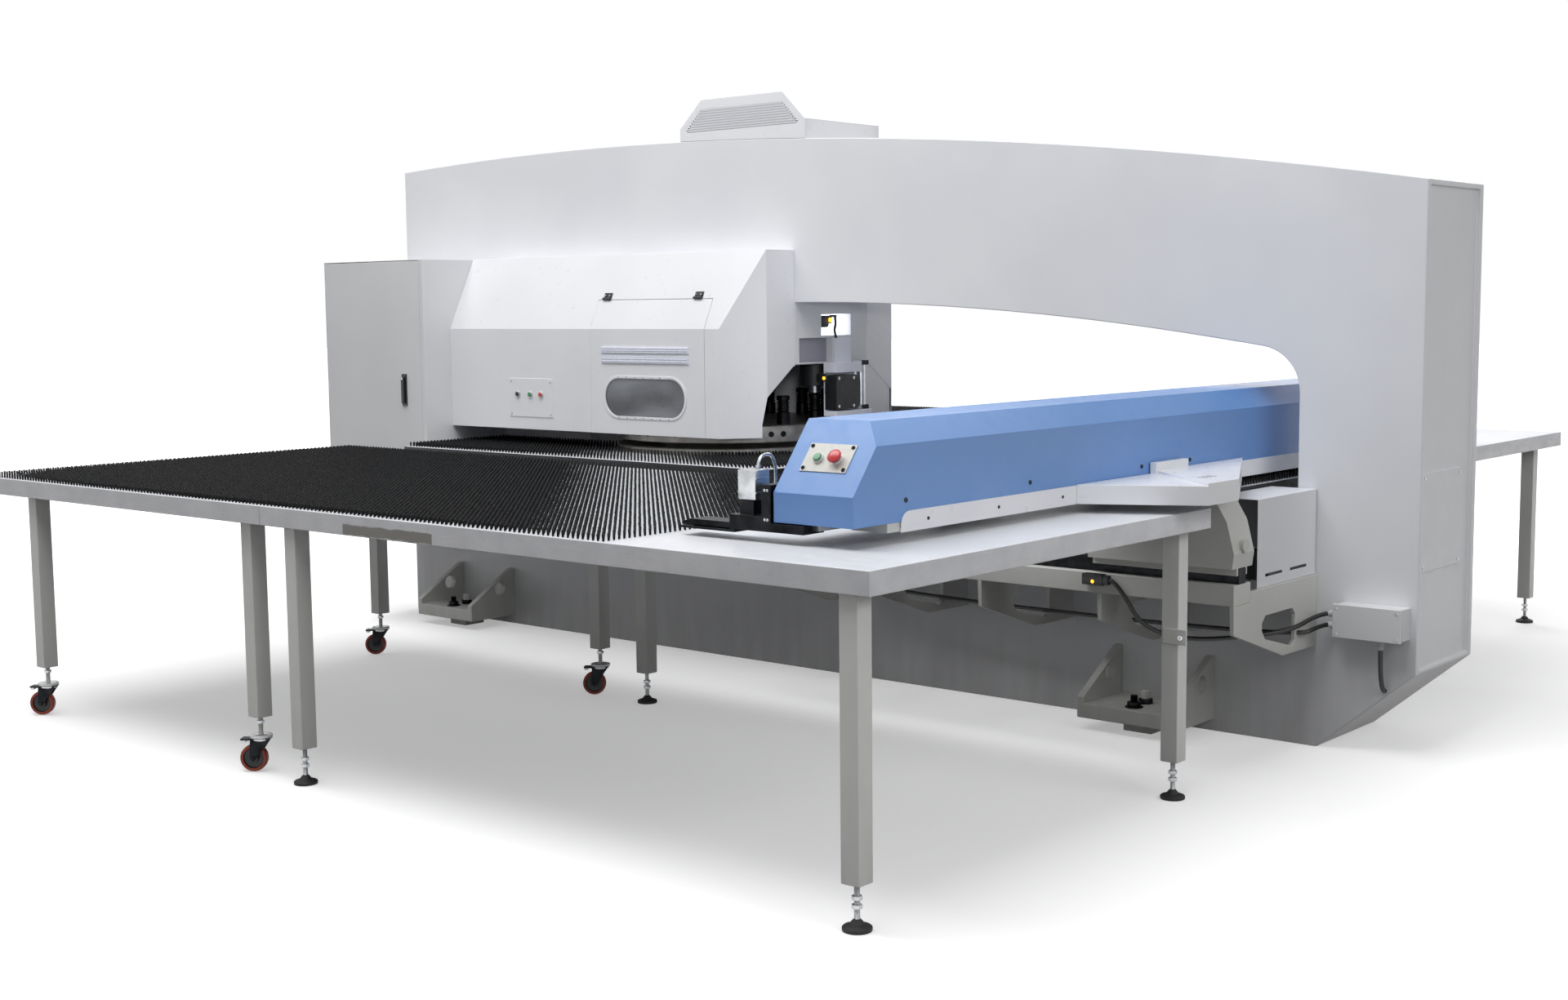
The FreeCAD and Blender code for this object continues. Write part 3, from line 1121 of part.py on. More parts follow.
bodies = []
jaws = []
cylinders = []
hoses = []
for index in range(int(S.clamp_count.value)):
    y = S.clamp_y0 + S.clamp_pitch * index
    y0 = y - S.clamp_half
    y1 = y + S.clamp_half
    tower = solid("XZ", [[
        (S.clamp_front, S.clamp_low), (S.slide_left, S.clamp_low),
        (S.slide_left, S.clamp_foot_top), (S.clamp_back, S.clamp_foot_top),
        (S.clamp_back, S.clamp_tall_top), (S.clamp_tall_x, S.clamp_tall_top),
        (S.clamp_tall_x, S.clamp_step), (S.clamp_front, S.clamp_step)]], y0, y1)
    lower_jaw = box(S.jaw_tip, S.clamp_front + S.jaw_ear, y0, y1, S.lower_jaw_low, S.pass_line)
    heel = box(S.clamp_front, S.clamp_front + S.jaw_ear, y0, y1, S.lower_jaw_low,
               S.clamp_low + S.jaw_ear)
    neck = box(S.clamp_neck_x0, S.clamp_neck_x1, y - S.cylinder_half, y + S.cylinder_half,
               S.clamp_step, S.clamp_neck_top)
    bodies.append(weld([tower, lower_jaw, heel, neck]))
    jaws.append(solid("XZ", [[
        (S.jaw_tip, S.jaw_low), (S.jaw_pin_x + S.jaw_pin_radius, S.jaw_low),
        (S.jaw_pin_x + S.jaw_pin_radius, S.jaw_top), (S.jaw_taper_x, S.jaw_top),
        (S.jaw_tip, S.jaw_taper_z)]], y - S.jaw_half, y + S.jaw_half))
    cylinders.append(box(S.cylinder_x0, S.cylinder_x1, y - S.cylinder_half,
                         y + S.cylinder_half, S.clamp_neck_top, S.cylinder_top))
    hoses.append(tube_route([
        (S.hose_x, y + S.hose_start, S.cylinder_top), (S.hose_x, y + S.hose_start, S.hose_top),
        (S.hose_x, y + S.hose_reach, S.hose_top), (S.hose_x, y + S.hose_reach, S.hose_low),
        (S.hose_x, y + S.cylinder_half, S.hose_low)], S.hose_radius, S.hose_bend))
node("clamp_bodies", group(bodies))
node("clamp_jaws", group(jaws))
node("clamp_cylinders", group(cylinders + hoses))

# ---------------------------------------------------------------- plate on the beam end
slant_run = (S.shell_slant_y - S.shell_front) / (S.shell_top - S.shell_band)
end_tilt = math.atan(slant_run.value)
tilt = FreeCAD.Rotation(FreeCAD.Vector(1, 0, 0), -math.degrees(end_tilt))
outward = FreeCAD.Rotation(FreeCAD.Vector(1, 0, 0), 90 - math.degrees(end_tilt))
normal_y = -math.cos(end_tilt)
normal_z = math.sin(end_tilt)
up_y = math.sin(end_tilt)
up_z = math.cos(end_tilt)
foot_y = S.shell_front + slant_run * (S.end_plate_z0 - S.shell_band)


def on_slant(along, off):
    """Point on the slanted end: distance up the slope and out of it."""
    return (foot_y + along * up_y + off * normal_y, S.end_plate_z0 + along * up_z + off * normal_z)


def slant_round(x, along, off, radius, height):
    """Many-sided piece standing square on the slanted end."""
    item = doc.addObject("Part::Prism", "Prism")
    item.Placement = FreeCAD.Placement(FreeCAD.Vector(), outward)
    bind(item, Polygon=S.button_sides, Circumradius=radius, Height=height)
    y, z = on_slant(along, off)
    place(item, x, y, z)
    return item


face_plate = doc.addObject("Part::Box", "FacePlate")
face_plate.Placement = FreeCAD.Placement(FreeCAD.Vector(), tilt)
bind(face_plate, Length=S.end_plate_x1 - S.end_plate_x0, Width=S.end_plate_thick,
     Height=S.end_plate_long)
plate_y, plate_z = on_slant(ZERO, S.end_plate_thick)
place(face_plate, S.end_plate_x0, plate_y, plate_z)
end_parts = [face_plate]
skin = S.end_plate_thick
for x in (S.start_x, S.stop_x):
    end_parts.append(slant_round(x, S.end_button_up, skin / 2, S.start_collar,
                                 S.end_collar_high + skin / 2))
end_bores = [slant_round(S.start_x, S.end_button_up, ZERO, S.start_radius + S.button_fit,
                         S.end_collar_high + skin),
             slant_round(S.stop_x, S.end_button_up, ZERO, S.stop_stem + S.button_fit,
                         S.end_collar_high + skin)]
node("beam_end_plate", cut(weld(end_parts), end_bores))
top_of_collar = skin + S.end_collar_high
node("start_button", slant_round(S.start_x, S.end_button_up, top_of_collar - S.start_high / 2,
                                 S.start_radius, S.start_high))
node("stop_button", weld([
    slant_round(S.stop_x, S.end_button_up, top_of_collar - S.stop_stem / 2, S.stop_stem,
                S.stop_stem_high),
    slant_round(S.stop_x, S.end_button_up, top_of_collar + S.stop_stem_high - S.stop_stem,
                S.stop_radius, S.stop_high)]))

# ---------------------------------------------------------------- junction box and cables
frame_face = -S.frame_half
lid_front = S.box_front - S.box_lid_lip
box_parts = [
    box(S.box_left, S.box_right, S.box_front, frame_face, S.box_low, S.box_top),
    box(S.box_left - S.box_lid_lip, S.box_right + S.box_lid_lip, lid_front,
        S.box_front + S.box_lid, S.box_low - S.box_lid_lip, S.box_top + S.box_lid_lip)]
for z in (S.gland_z0, S.gland_z1):
    box_parts.append(prism("X", HEX, S.box_left - S.gland_long, S.gland_y, z, S.gland_radius,
                           S.gland_long))
box_parts.append(prism("Z", HEX, S.gland_down_x, S.gland_y, S.box_low - S.gland_long,
                       S.gland_radius, S.gland_long))
node("junction_box", weld(box_parts))
sensor = box(S.sensor_x0, S.sensor_x1, S.rail_beam_front - S.sensor_deep, S.rail_beam_front,
             S.sensor_low, S.sensor_top)
gland_tip = S.box_left - S.gland_long
sensor_cable = tube_route([
    (gland_tip, S.gland_y, S.gland_z1), (S.droop_x0, S.gland_y, S.gland_z1),
    (S.droop_x1, S.droop_y1, S.droop_z), (S.droop_x2, S.droop_y2, S.droop_z),
    (S.droop_x3, S.sensor_y, S.sensor_plug_z), (S.sensor_x1, S.sensor_y, S.sensor_plug_z)],
    S.cable_radius, S.cable_bend)
frame_cable = tube_route([
    (gland_tip, S.gland_y, S.gland_z0), (S.run_x0, S.gland_y, S.gland_z0),
    (S.run_x1, S.run_y, S.run_z), (S.run_end, S.run_y, S.run_z),
    (S.run_end, frame_face, S.run_z)], S.cable_radius, S.cable_bend)
supply_cable = tube_route([
    (S.gland_down_x, S.gland_y, S.box_low - S.gland_long),
    (S.gland_down_x, S.gland_y, S.supply_z), (S.gland_down_x, frame_face, S.supply_z)],
    S.cable_radius, S.cable_bend)
node("cables", group([sensor, sensor_cable, frame_cable, supply_cable]))

# ---------------------------------------------------------------- checks and export
doc.recompute()
for item in doc.Objects:
    if "Invalid" in item.State or "Error" in item.State:
        raise RuntimeError(f"{item.Label} is {item.State}")
for name, item in NODES:
    if item.Shape.isNull() or not item.Shape.isValid():
        raise RuntimeError(f"{name} has no valid shape")
if len({name for name, item in NODES}) != len(NODES):
    raise RuntimeError("two pieces share a name")
for name, item in NODES:
    item.Shape.exportStep(f"parts/{name}.step")
print(len(NODES), "pieces written")
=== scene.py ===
"""Turret punch press: pieces, finishes and stage of one scene, laid out as an add-on."""

import json
import math
import random
from contextlib import contextmanager
from itertools import product

import bmesh
import bpy
from mathutils import Matrix, Vector

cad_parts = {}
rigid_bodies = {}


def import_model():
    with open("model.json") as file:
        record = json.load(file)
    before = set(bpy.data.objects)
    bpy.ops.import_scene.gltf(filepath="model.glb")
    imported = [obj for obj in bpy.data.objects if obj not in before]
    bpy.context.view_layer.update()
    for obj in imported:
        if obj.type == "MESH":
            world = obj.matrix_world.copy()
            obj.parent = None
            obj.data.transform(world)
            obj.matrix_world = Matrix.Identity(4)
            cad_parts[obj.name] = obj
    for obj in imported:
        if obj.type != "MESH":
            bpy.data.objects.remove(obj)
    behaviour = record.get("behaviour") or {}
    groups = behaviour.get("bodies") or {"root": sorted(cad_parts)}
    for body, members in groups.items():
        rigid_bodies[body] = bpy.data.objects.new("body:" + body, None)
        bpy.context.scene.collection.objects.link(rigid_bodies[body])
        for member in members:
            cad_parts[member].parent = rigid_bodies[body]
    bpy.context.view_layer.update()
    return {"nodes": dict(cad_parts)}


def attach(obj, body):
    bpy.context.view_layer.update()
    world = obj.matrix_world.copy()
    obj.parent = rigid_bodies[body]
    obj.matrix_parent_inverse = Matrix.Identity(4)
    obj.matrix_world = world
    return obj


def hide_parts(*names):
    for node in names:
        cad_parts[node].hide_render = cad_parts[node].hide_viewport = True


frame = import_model()

bl_info = {
    "name": "Turret Punch Press",
    "version": (1, 0, 0),
    "blender": (4, 5, 0),
    "location": "3D View > Sidebar > Press",
    "description": "Builds a turret punch press with brush tables, its finishes and its stage",
    "category": "Object",
}

# ------------------------------------------------------------------ directions
RIGHT = Vector((1, 0, 0))
LEFT = Vector((-1, 0, 0))
FRONT = Vector((0, -1, 0))
REAR = Vector((0, 1, 0))
UP = Vector((0, 0, 1))
DOWN = Vector((0, 0, -1))
SIDES = (-1, 1)

# ------------------------------------------------------------------ sizes, in metres; the camera's
# lens and sensor are in millimetres
FRAME_HALF = 0.255
FOOT_PLATE_TOP = 0.100
RECESS_BACK = -0.0895
RECESS_FACE = -0.0865
# height up to which painted shade darkens the coats near the floor
FLOOR_SHADE_TOP = 0.45
COVER_FRONT = -0.597
CONTROL_FRONT = -0.600
BUTTON_X = {"black": -1.479, "green": -1.392, "red": -1.318}
BUTTON_Z = 1.195
VENT_FLOOR = 1.0449
TURRET = Vector((-0.620, 0.0, 0.0))
TURRET_RADIUS = 0.560
TURRET_EDGE = 0.004
TOOL_CIRCLE = 0.470
DIE_RADIUS = 0.031
STATIONS = 16
RIM_BORE_HEIGHT = 1.035
RIM_BORE_START = math.radians(-30)
RIM_BORE_TURN = math.radians(2.9)
TOOL_IN_USE = TURRET + Vector((TOOL_CIRCLE, 0, 0))
TABLE_TOP = 0.945
TABLE_FRONT = -2.900
TABLE_BACK = -1.130
RIM_FOOT = 0.880
TORN_X = (0.276, 0.722)
TORN_Z = (0.890, 0.919)
BRUSH_TIP = 0.966
BRUSH_HEIGHT = BRUSH_TIP - TABLE_TOP
PITCH = 0.0208
MARGIN = 0.017
FIELD_LEFT = -2.055
FIELD_RIGHT = 1.475
CENTRE_LEFT = -1.966
CENTRE_FRONT = -0.900
CENTRE_RIGHT = 2.190
STEP_X = 0.330
STEP_Y = 0.735
CLEAR_RADIUS = 0.582
SLANT = math.atan(155 / 196)
SLANT_OUT = Vector((0, -math.cos(SLANT), math.sin(SLANT)))
START_X = 1.984
STOP_X = 2.050
BEAM_BUTTON_RISE = 0.042
CLAMP_YS = (-2.595, -1.643, -0.691)
PIPE_X = 1.772
FOOT_LEGS = [(x, y) for x in (-0.050, 2.335) for y in (-2.850, -1.205)] + [
    (x, y) for x in (-1.950, 0.060, 2.068) for y in (1.205, 2.822)]
CASTER_LEGS = [(x, y) for x in (-1.790, -0.320) for y in (-2.840, -1.205)]
CASTER_ANGLE = math.radians(40)
CASTER_TRAIL = 0.026
WHEEL_RADIUS = 0.048
SCREW_START = Vector((0.342, -0.640, 0.700))
SCREW_END = 2.210
SCREW_RADIUS = 0.016
SCREW_LEAD = 0.040
CABLE_RADIUS = 0.008
FLOOR_NEAR = 3.6
FLOOR_FAR = 7.5
LENS_MM = 42.834
SENSOR_MM = 36.0
CAMERA_PLACE = (5.230, -6.500, 1.600)
CAMERA_DEGREES = (84.0412, 0.5781, 40.5367)
FULL = (0.0, 1.0)
SEED = 7


# ------------------------------------------------------------------ colour and nodes
def linear(colour):
    """Linear RGBA of an sRGB hex code; a colour from the settings is linear already."""
    if not isinstance(colour, str):
        return colour
    channels = []
    for start in (0, 2, 4):
        level = int(colour[start:start + 2], 16) / 255
        channels.append(level / 12.92 if level <= 0.04045 else ((level + 0.055) / 1.055) ** 2.4)
    return (*channels, 1.0)


def wire(tree, node, values):
    """Fill a node's inputs, each with a number, a colour, a socket or another node."""
    for name, value in values.items():
        if isinstance(value, bpy.types.Node):
            value = next(socket for socket in value.outputs if socket.enabled)
        if isinstance(value, bpy.types.NodeSocket):
            tree.links.new(value, node.inputs[name])
        else:
            node.inputs[name].default_value = value


def add(tree, kind, values=None, **settings):
    """One node with its settings and links."""
    node = tree.nodes.new("ShaderNode" + kind)
    for key, setting in settings.items():
        setattr(node, key, setting)
    wire(tree, node, values or {})
    return node


def blank(name):
    """Empty material: its tree, object coordinates and the surface shader."""
    material = bpy.data.materials.new(name)
    material.use_nodes = True
    tree = material.node_tree
    tree.nodes.clear()
    shader = add(tree, "BsdfPrincipled")
    add(tree, "OutputMaterial", {"Surface": shader})
    return material, tree, add(tree, "TexCoord").outputs["Object"], shader


def mottle(tree, place, size_mm, detail=3.0, stretch=(1, 1, 1)):
    """Cloudy pattern whose patches are about that many millimetres across."""
    spread = add(tree, "Mapping", {"Vector": place, "Scale": stretch})
    return add(tree, "TexNoise", {
        "Vector": spread, "Scale": 1000.0 / size_mm, "Detail": detail})


def blend(tree, pattern, low, high, span=(0.3, 0.7)):
    """Number or colour that goes from one end to the other as a pattern crosses a span."""
    share = add(tree, "MapRange", {"Value": pattern, "From Min": span[0], "From Max": span[1]})
    if isinstance(low, float):
        wire(tree, share, {"To Min": low, "To Max": high})
        return share
    return add(tree, "Mix", {"Factor": share, "A": linear(low), "B": linear(high)},
               data_type="RGBA")


def surface(tree, shader, colour, gloss, height, depth_mm, fixed=None):
    """Join a shader's colour, its roughness and a bump of a real depth to it."""
    bump = add(tree, "Bump", {"Height": height, "Distance": depth_mm / 1000.0, "Strength": 1.0})
    wire(tree, shader, {"Base Color": colour, "Roughness": gloss, "Normal": bump})
    wire(tree, shader, fixed or {})


# ------------------------------------------------------------------ materials
def powder_coat(name, dark, light, rough=0.42, peel_mm=3.0, floor_shade=0.0, depth_mm=0.008):
    """Sprayed powder coat: orange-peel skin, slow tone drift, and painted shade that darkens it in
    upright streaks near the floor.
    """
    material, tree, place, shader = blank(name)
    tone = blend(tree, mottle(tree, place, 420.0, 2.0), dark, light)
    height = add(tree, "SeparateXYZ", {"Vector": place}).outputs["Z"]
    # painted shade: the coat darkens towards the floor in upright streaks, mixing towards the grey
    # 8f8d88
    near_floor = blend(tree, height, floor_shade, 0.0, (0.0, FLOOR_SHADE_TOP))
    streak = mottle(tree, place, 60.0, 4.0, (1, 1, 0.15))
    shade_mask = add(tree, "Math", {0: near_floor, 1: streak}, operation="MULTIPLY")
    shaded_tone = add(tree, "Mix", {"Factor": shade_mask, "A": tone, "B": linear("8f8d88")},
                data_type="RGBA")
    gloss = blend(tree, mottle(tree, place, 35.0), rough - 0.05, rough + 0.07)
    surface(tree, shader, shaded_tone, gloss, mottle(tree, place, peel_mm, 2.0), depth_mm)
    return material


def machined(name, dark, light, rough=0.3, grain_mm=1.2, stretch=(1, 1, 1)):
    """Cut or ground metal: fine marks along the tool path, tone and gloss drifting with oil. The
    real marks are finer than a render shows, so they are drawn about a millimetre apart."""
    material, tree, place, shader = blank(name)
    marks = mottle(tree, place, grain_mm, 3.0, stretch)
    tone = blend(tree, mottle(tree, place, 45.0), dark, light)
    gloss = blend(tree, marks, rough - 0.06, rough + 0.08)
    surface(tree, shader, tone, gloss, marks, 0.01, {"Metallic": 1.0})
    return material


def moulded(name, dark, light, rough=0.45, grain_mm=0.8, depth_mm=0.02, coat=0.0):
    """Moulded plastic or rubber: mould grain, drawn coarser than it is so that it shows, with a
    little handling sheen."""
    material, tree, place, shader = blank(name)
    tone = blend(tree, mottle(tree, place, 18.0), dark, light)
    gloss = blend(tree, mottle(tree, place, 9.0), rough - 0.06, rough + 0.08)
    grain = mottle(tree, place, grain_mm, 2.0)
    surface(tree, shader, tone, gloss, grain, depth_mm, {"Coat Weight": coat})
    return material


def between(tree, value, low, high, soft=0.004):
    """One inside a range, zero outside, with a soft edge."""
    rise = blend(tree, value, 0.0, 1.0, (low - soft, low))
    fall = blend(tree, value, 1.0, 0.0, (high, high + soft))
    return add(tree, "Math", {0: rise, 1: fall}, operation="MULTIPLY")


def film_wrapped(name):
    """Thin cling film over sheet: cloudy white with shallow wrinkles and soft gloss; one torn
    place on the front rim shows the dull grey steel below."""
    material, tree, place, shader = blank(name)
    film = blend(tree, mottle(tree, place, 90.0, 4.0), "d6d7dc", "e2e3e7", (0.35, 0.65))
    axes = add(tree, "SeparateXYZ", {"Vector": place}).outputs
    ragged = add(tree, "Math", {0: mottle(tree, place, 40.0), 1: 0.012, 2: axes["Z"]},
                 operation="MULTIPLY_ADD")
    torn = add(tree, "Math", {
        0: between(tree, axes["X"], *TORN_X), 1: between(tree, ragged, *TORN_Z)},
        operation="MULTIPLY")
    front = between(tree, axes["Y"], TABLE_FRONT - 0.01, TABLE_FRONT + 0.01)
    bare = add(tree, "Math", {0: torn, 1: front}, operation="MULTIPLY")
    tone = add(tree, "Mix", {"Factor": bare, "A": film, "B": linear("6f6d67")},
               data_type="RGBA")
    wrinkle = mottle(tree, place, 30.0, 5.0, (0.35, 0.35, 1.6))
    surface(tree, shader, tone, blend(tree, wrinkle, 0.22, 0.42), wrinkle, 0.5)
    return material


def nylon_bristle(name):
    """Black nylon filaments: upright streaks that catch thin lines of light. A filament is about
    0.3 mm thick and is drawn three times as wide, so that it shows."""
    material, tree, place, shader = blank(name)
    strands = mottle(tree, place, 0.9, 2.0, (1, 1, 0.06))
    tone = blend(tree, strands, "060607", "1b1c1e", FULL)
    gloss = blend(tree, strands, 0.42, 0.62)
    surface(tree, shader, tone, gloss, strands, 0.3, {"Specular IOR Level": 0.12})
    return material


def smoked_pane(name):
    """Scuffed tinted acrylic: half see-through grey, paler where dust and glare hang on it."""
    material, tree, place, shader = blank(name)
    haze = blend(tree, mottle(tree, place, 190.0, 0.5, (0.7, 1, 1.4)), 0.0, 1.0, (0.35, 0.65))
    wipe = mottle(tree, place, 80.0, 5.0, (0.4, 1, 1.5))
    wire(tree, shader, {
        "Base Color": blend(tree, haze, "72757d", "a9adb6", FULL),
        "Transmission Weight": blend(tree, haze, 0.7, 0.5, FULL),
        "Roughness": blend(tree, wipe, 0.05, 0.15), "IOR": 1.49})
    return material


def perforated_sheet(name, pitch=0.011):
    """Painted sheet with rows of punched round holes, each drawn as a darker grey spot of painted
    shade where it goes through.
    """
    material, tree, place, shader = blank(name)
    cell = add(tree, "VectorMath", {0: place, 1: (pitch, 1.0, pitch)}, operation="DIVIDE")
    part = add(tree, "VectorMath", {0: cell}, operation="FRACTION")
    flat = add(tree, "VectorMath", {0: part, 1: (1.0, 0.0, 1.0)}, operation="MULTIPLY")
    gap = add(tree, "VectorMath", {0: flat, 1: (0.5, 0.0, 0.5)}, operation="DISTANCE")
    hole = blend(tree, gap, 0.0, 1.0, (0.22, 0.30))
    # painted shade: the holes are darker grey where they go through
    tone = blend(tree, hole, "8f9298", "dcdde1", FULL)
    surface(tree, shader, tone, blend(tree, mottle(tree, place, 30.0), 0.4, 0.5), hole, 1.0)
    return material


def glowing(name, code, power):
    """Lit lens or panel: its brightness wavers a little from place to place."""
    material, tree, place, shader = blank(name)
    wire(tree, shader, {
        "Base Color": linear(code), "Emission Color": linear(code),
        "Emission Strength": blend(tree, mottle(tree, place, 6.0), 0.8 * power, power)})
    return material


FINISH = {}


def make_finishes(settings):
    """Every material of the machine."""
    FINISH.update({
        "white": powder_coat("white_powder_coat", settings.white_shade, settings.white_tint,
                             floor_shade=0.5),
        "cabinet": powder_coat("grey_white_cabinet_coat", "dadbde", "e0e1e3", 0.4),
        "cover": powder_coat("gloss_white_cover_coat", "e9eaee", "eeeff2", 0.32, 4.0),
        "bracket": powder_coat("bluish_white_bracket_coat", "e9ecf8", "f3f5fd", 0.35),
        # painted shade: the recess plate is coloured grey for the shade that falls in the recess
        "recess": powder_coat("recess_painted_shade_grey", "9a9aa6", "a5a5b0", 0.5),
        "plate": moulded("satin_grey_switch_plate", "c9c9c3", "d3d3cd", 0.35, 0.6, 0.01),
        "blue": powder_coat("light_blue_enamel", settings.blue_shade, settings.blue_tint, 0.34,
                            6.0, depth_mm=0.004),
        "leg": powder_coat("cream_grey_leg_coat", "e6e7e3", "edeeea", 0.4, floor_shade=0.5),
        "casting": powder_coat("cream_machine_enamel", "cccdc8", "d4d5d0", 0.45, 2.0, floor_shade=0.5),
        "sheet": powder_coat("white_table_sheet", "dddfe4", "e4e6ea", 0.36, 6.0, depth_mm=0.004),
        "film": film_wrapped("protective_film_on_sheet"),
        "steel": machined("ground_steel", "8c8e91", "b4b6b8", 0.28, 1.2, (1, 0.1, 1)),
        "turned": machined("turned_tool_steel", "8b8986", "aeaba6", 0.38, 1.0, (0.2, 0.2, 2)),
        "bolt": machined("zinc_plated_steel", "a5a8ab", "c8cacc", 0.25, 2.0),
        "black_steel": machined("black_oxide_steel", "17181a", "2c2d30", 0.42, 1.5),
        "cast": powder_coat("black_casting_paint", "15161a", "24252a", 0.5, 1.6),
        "aluminium": machined("brushed_aluminium", "b7babd", "d6d8da", 0.3, 0.8, (0.08, 1, 1)),
        "bristle": nylon_bristle("black_nylon_bristle"),
        "pane": smoked_pane("smoked_acrylic_pane"),
        "perforated": perforated_sheet("perforated_painted_sheet"),
        "black_plastic": moulded("black_moulded_plastic", "101113", "1d1e20", 0.4),
        "green_plastic": moulded("green_moulded_cap", "0d6b3a", "16874b", 0.28, coat=0.4),
        "red_plastic": moulded("red_moulded_cap", "b3141c", "cf2128", 0.28, coat=0.4),
        "white_plastic": moulded("white_moulded_ring", "d3d4d3", "e3e4e3", 0.35),
        "tread": moulded("dark_red_polyurethane", "8c3322", "a5432e", 0.45, 1.5),
        "rubber": moulded("black_rubber", "0d0d0e", "1a1a1b", 0.65, 0.6, 0.05),
        "jacket": moulded("black_cable_jacket", "0c0c0d", "191a1b", 0.45, 0.7),
        "strip": moulded("bluish_white_strip", "dfe3f2", "eceffa", 0.25, coat=0.3),
        "amber": glowing("amber_indicator_lens", "ff9a1f", 6.0),
        "work_light": glowing("white_work_light", "f4f7ff", 2.2),
    })


# ------------------------------------------------------------------ mesh shapes
def aim(axis):
    """Turn that takes +Z to an axis."""
    return UP.rotation_difference(Vector(axis).normalized()).to_matrix().to_4x4()


def soften(bm, edges, width):
    """Round edges off."""
    if edges and width > 0:
        bmesh.ops.bevel(bm, geom=edges, offset=width, offset_type="OFFSET", segments=2,
                        profile=0.5, affect="EDGES", clamp_overlap=True, material=-1)


def block(bm, low, high, edge=0.001):
    """Box between two corners with rounded edges."""
    low, high = Vector(low), Vector(high)
    scale = Matrix.Diagonal((*(high - low), 1.0))
    made = bmesh.ops.create_cube(bm, size=1.0, matrix=Matrix.Translation((low + high) / 2) @ scale)
    soften(bm, list({e for v in made["verts"] for e in v.link_edges}), edge)


def lathe(bm, profile, origin, axis=UP, steps=32):
    """Profile of (radius, height) turned round an axis; ends on the axis are closed."""
    turn = Matrix.Translation(origin) @ aim(axis)
    points = [bm.verts.new(turn @ Vector((radius, 0, height))) for radius, height in profile]
    edges = [bm.edges.new(pair) for pair in zip(points, points[1:])]
    bmesh.ops.spin(bm, geom=points + edges, cent=origin, axis=Vector(axis).normalized(),
                   angle=math.tau, steps=steps, use_merge=True, use_duplicate=False)
    bmesh.ops.remove_doubles(bm, verts=bm.verts, dist=1e-6)


def disc(bm, origin, axis, radius, height, edge=0.001, steps=32):
    """Short round piece with a rounded rim."""
    edge = min(edge, radius * 0.4, height * 0.4)
    lathe(bm, [(0, 0), (radius - edge, 0), (radius, edge), (radius, height - edge),
               (radius - edge, height), (0, height)], origin, axis, steps)


def cap_screw(bm, origin, axis, radius, height, steps=16):
    """Socket-head screw: round head with a sunk socket."""
    lathe(bm, [(0, height * 0.35), (radius * 0.45, height * 0.35), (radius * 0.5, height),
               (radius * 0.88, height), (radius, height * 0.85), (radius, 0), (0, 0)],
          origin, axis, steps)


def hexagon(bm, origin, axis, corner, height):
    """Hexagon nut or screw head."""
    turn = Matrix.Translation(origin) @ aim(axis) @ Matrix.Translation((0, 0, height / 2))
    made = bmesh.ops.create_cone(bm, cap_ends=True, segments=6, radius1=corner, radius2=corner,
                                 depth=height, matrix=turn)
    soften(bm, list({e for v in made["verts"] for e in v.link_edges}), 0.001)


def threaded(bm, origin, radius, length, pitch=0.002):
    """Upright threaded rod drawn as crests and roots."""
    count = int(length / pitch)
    profile = [(0, 0), (radius * 0.88, 0)]
    for turn in range(count):
        profile.append((radius, length * (turn + 0.5) / count))
        profile.append((radius * 0.88, length * (turn + 1) / count))
    lathe(bm, [*profile, (0, length)], origin, UP, 16)


# ------------------------------------------------------------------ finished pieces
def baked(bm, name):
    """Mesh from a bmesh, which is freed."""
    mesh = bpy.data.meshes.new(name)
    bm.to_mesh(mesh)
    bm.free()
    return mesh


def linked(name, data):
    """New object in the scene."""
    item = bpy.data.objects.new(name, data)
    bpy.context.scene.collection.objects.link(item)
    return item


def riding(name, data, body, replaced=()):
    """New object that rides on a body and may stand for CAD pieces."""
    item = linked(name, data)
    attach(item, body)
    if replaced:
        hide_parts(*replaced)
    return item


def finish(bm, name, body, look, replaced=(), crease=32):
    """Piece from a bmesh, smooth but for its creases; several looks come as a list."""
    bmesh.ops.recalc_face_normals(bm, faces=bm.faces)
    for face in bm.faces:
        face.smooth = True
    mesh = baked(bm, name)
    mesh.set_sharp_from_angle(angle=math.radians(crease))
    for item in [look] if isinstance(look, str) else look:
        mesh.materials.append(FINISH[item])
    return riding(name, mesh, body, replaced)


@contextmanager
def piece(name, body, slot, look, replaced=()):
    """Mesh to be filled with shapes, which then becomes a piece."""
    bm = bmesh.new()
    yield bm
    bmesh.ops.remove_doubles(bm, verts=bm.verts, dist=1e-6)
    finish(bm, name, body, look, replaced)


def blocks(name, body, slot, look, boxes, replaced=()):
    """Piece made of boxes, each with its two corners and the width of its edges."""
    with piece(name, body, slot, look, replaced) as bm:
        for low, high, edge in boxes:
            block(bm, low, high, edge)


def turned(name, body, slot, look, profile, origin, axis=UP, steps=32, replaced=()):
    """Piece made of one profile turned round an axis."""
    with piece(name, body, slot, look, replaced) as bm:
        lathe(bm, profile, origin, axis, steps)


def screws(name, body, slot, look, places, axis, radius, height, steps=16):
    """Piece made of like socket-head screws."""
    with piece(name, body, slot, look) as bm:
        for place in places:
            cap_screw(bm, place, axis, radius, height, steps)


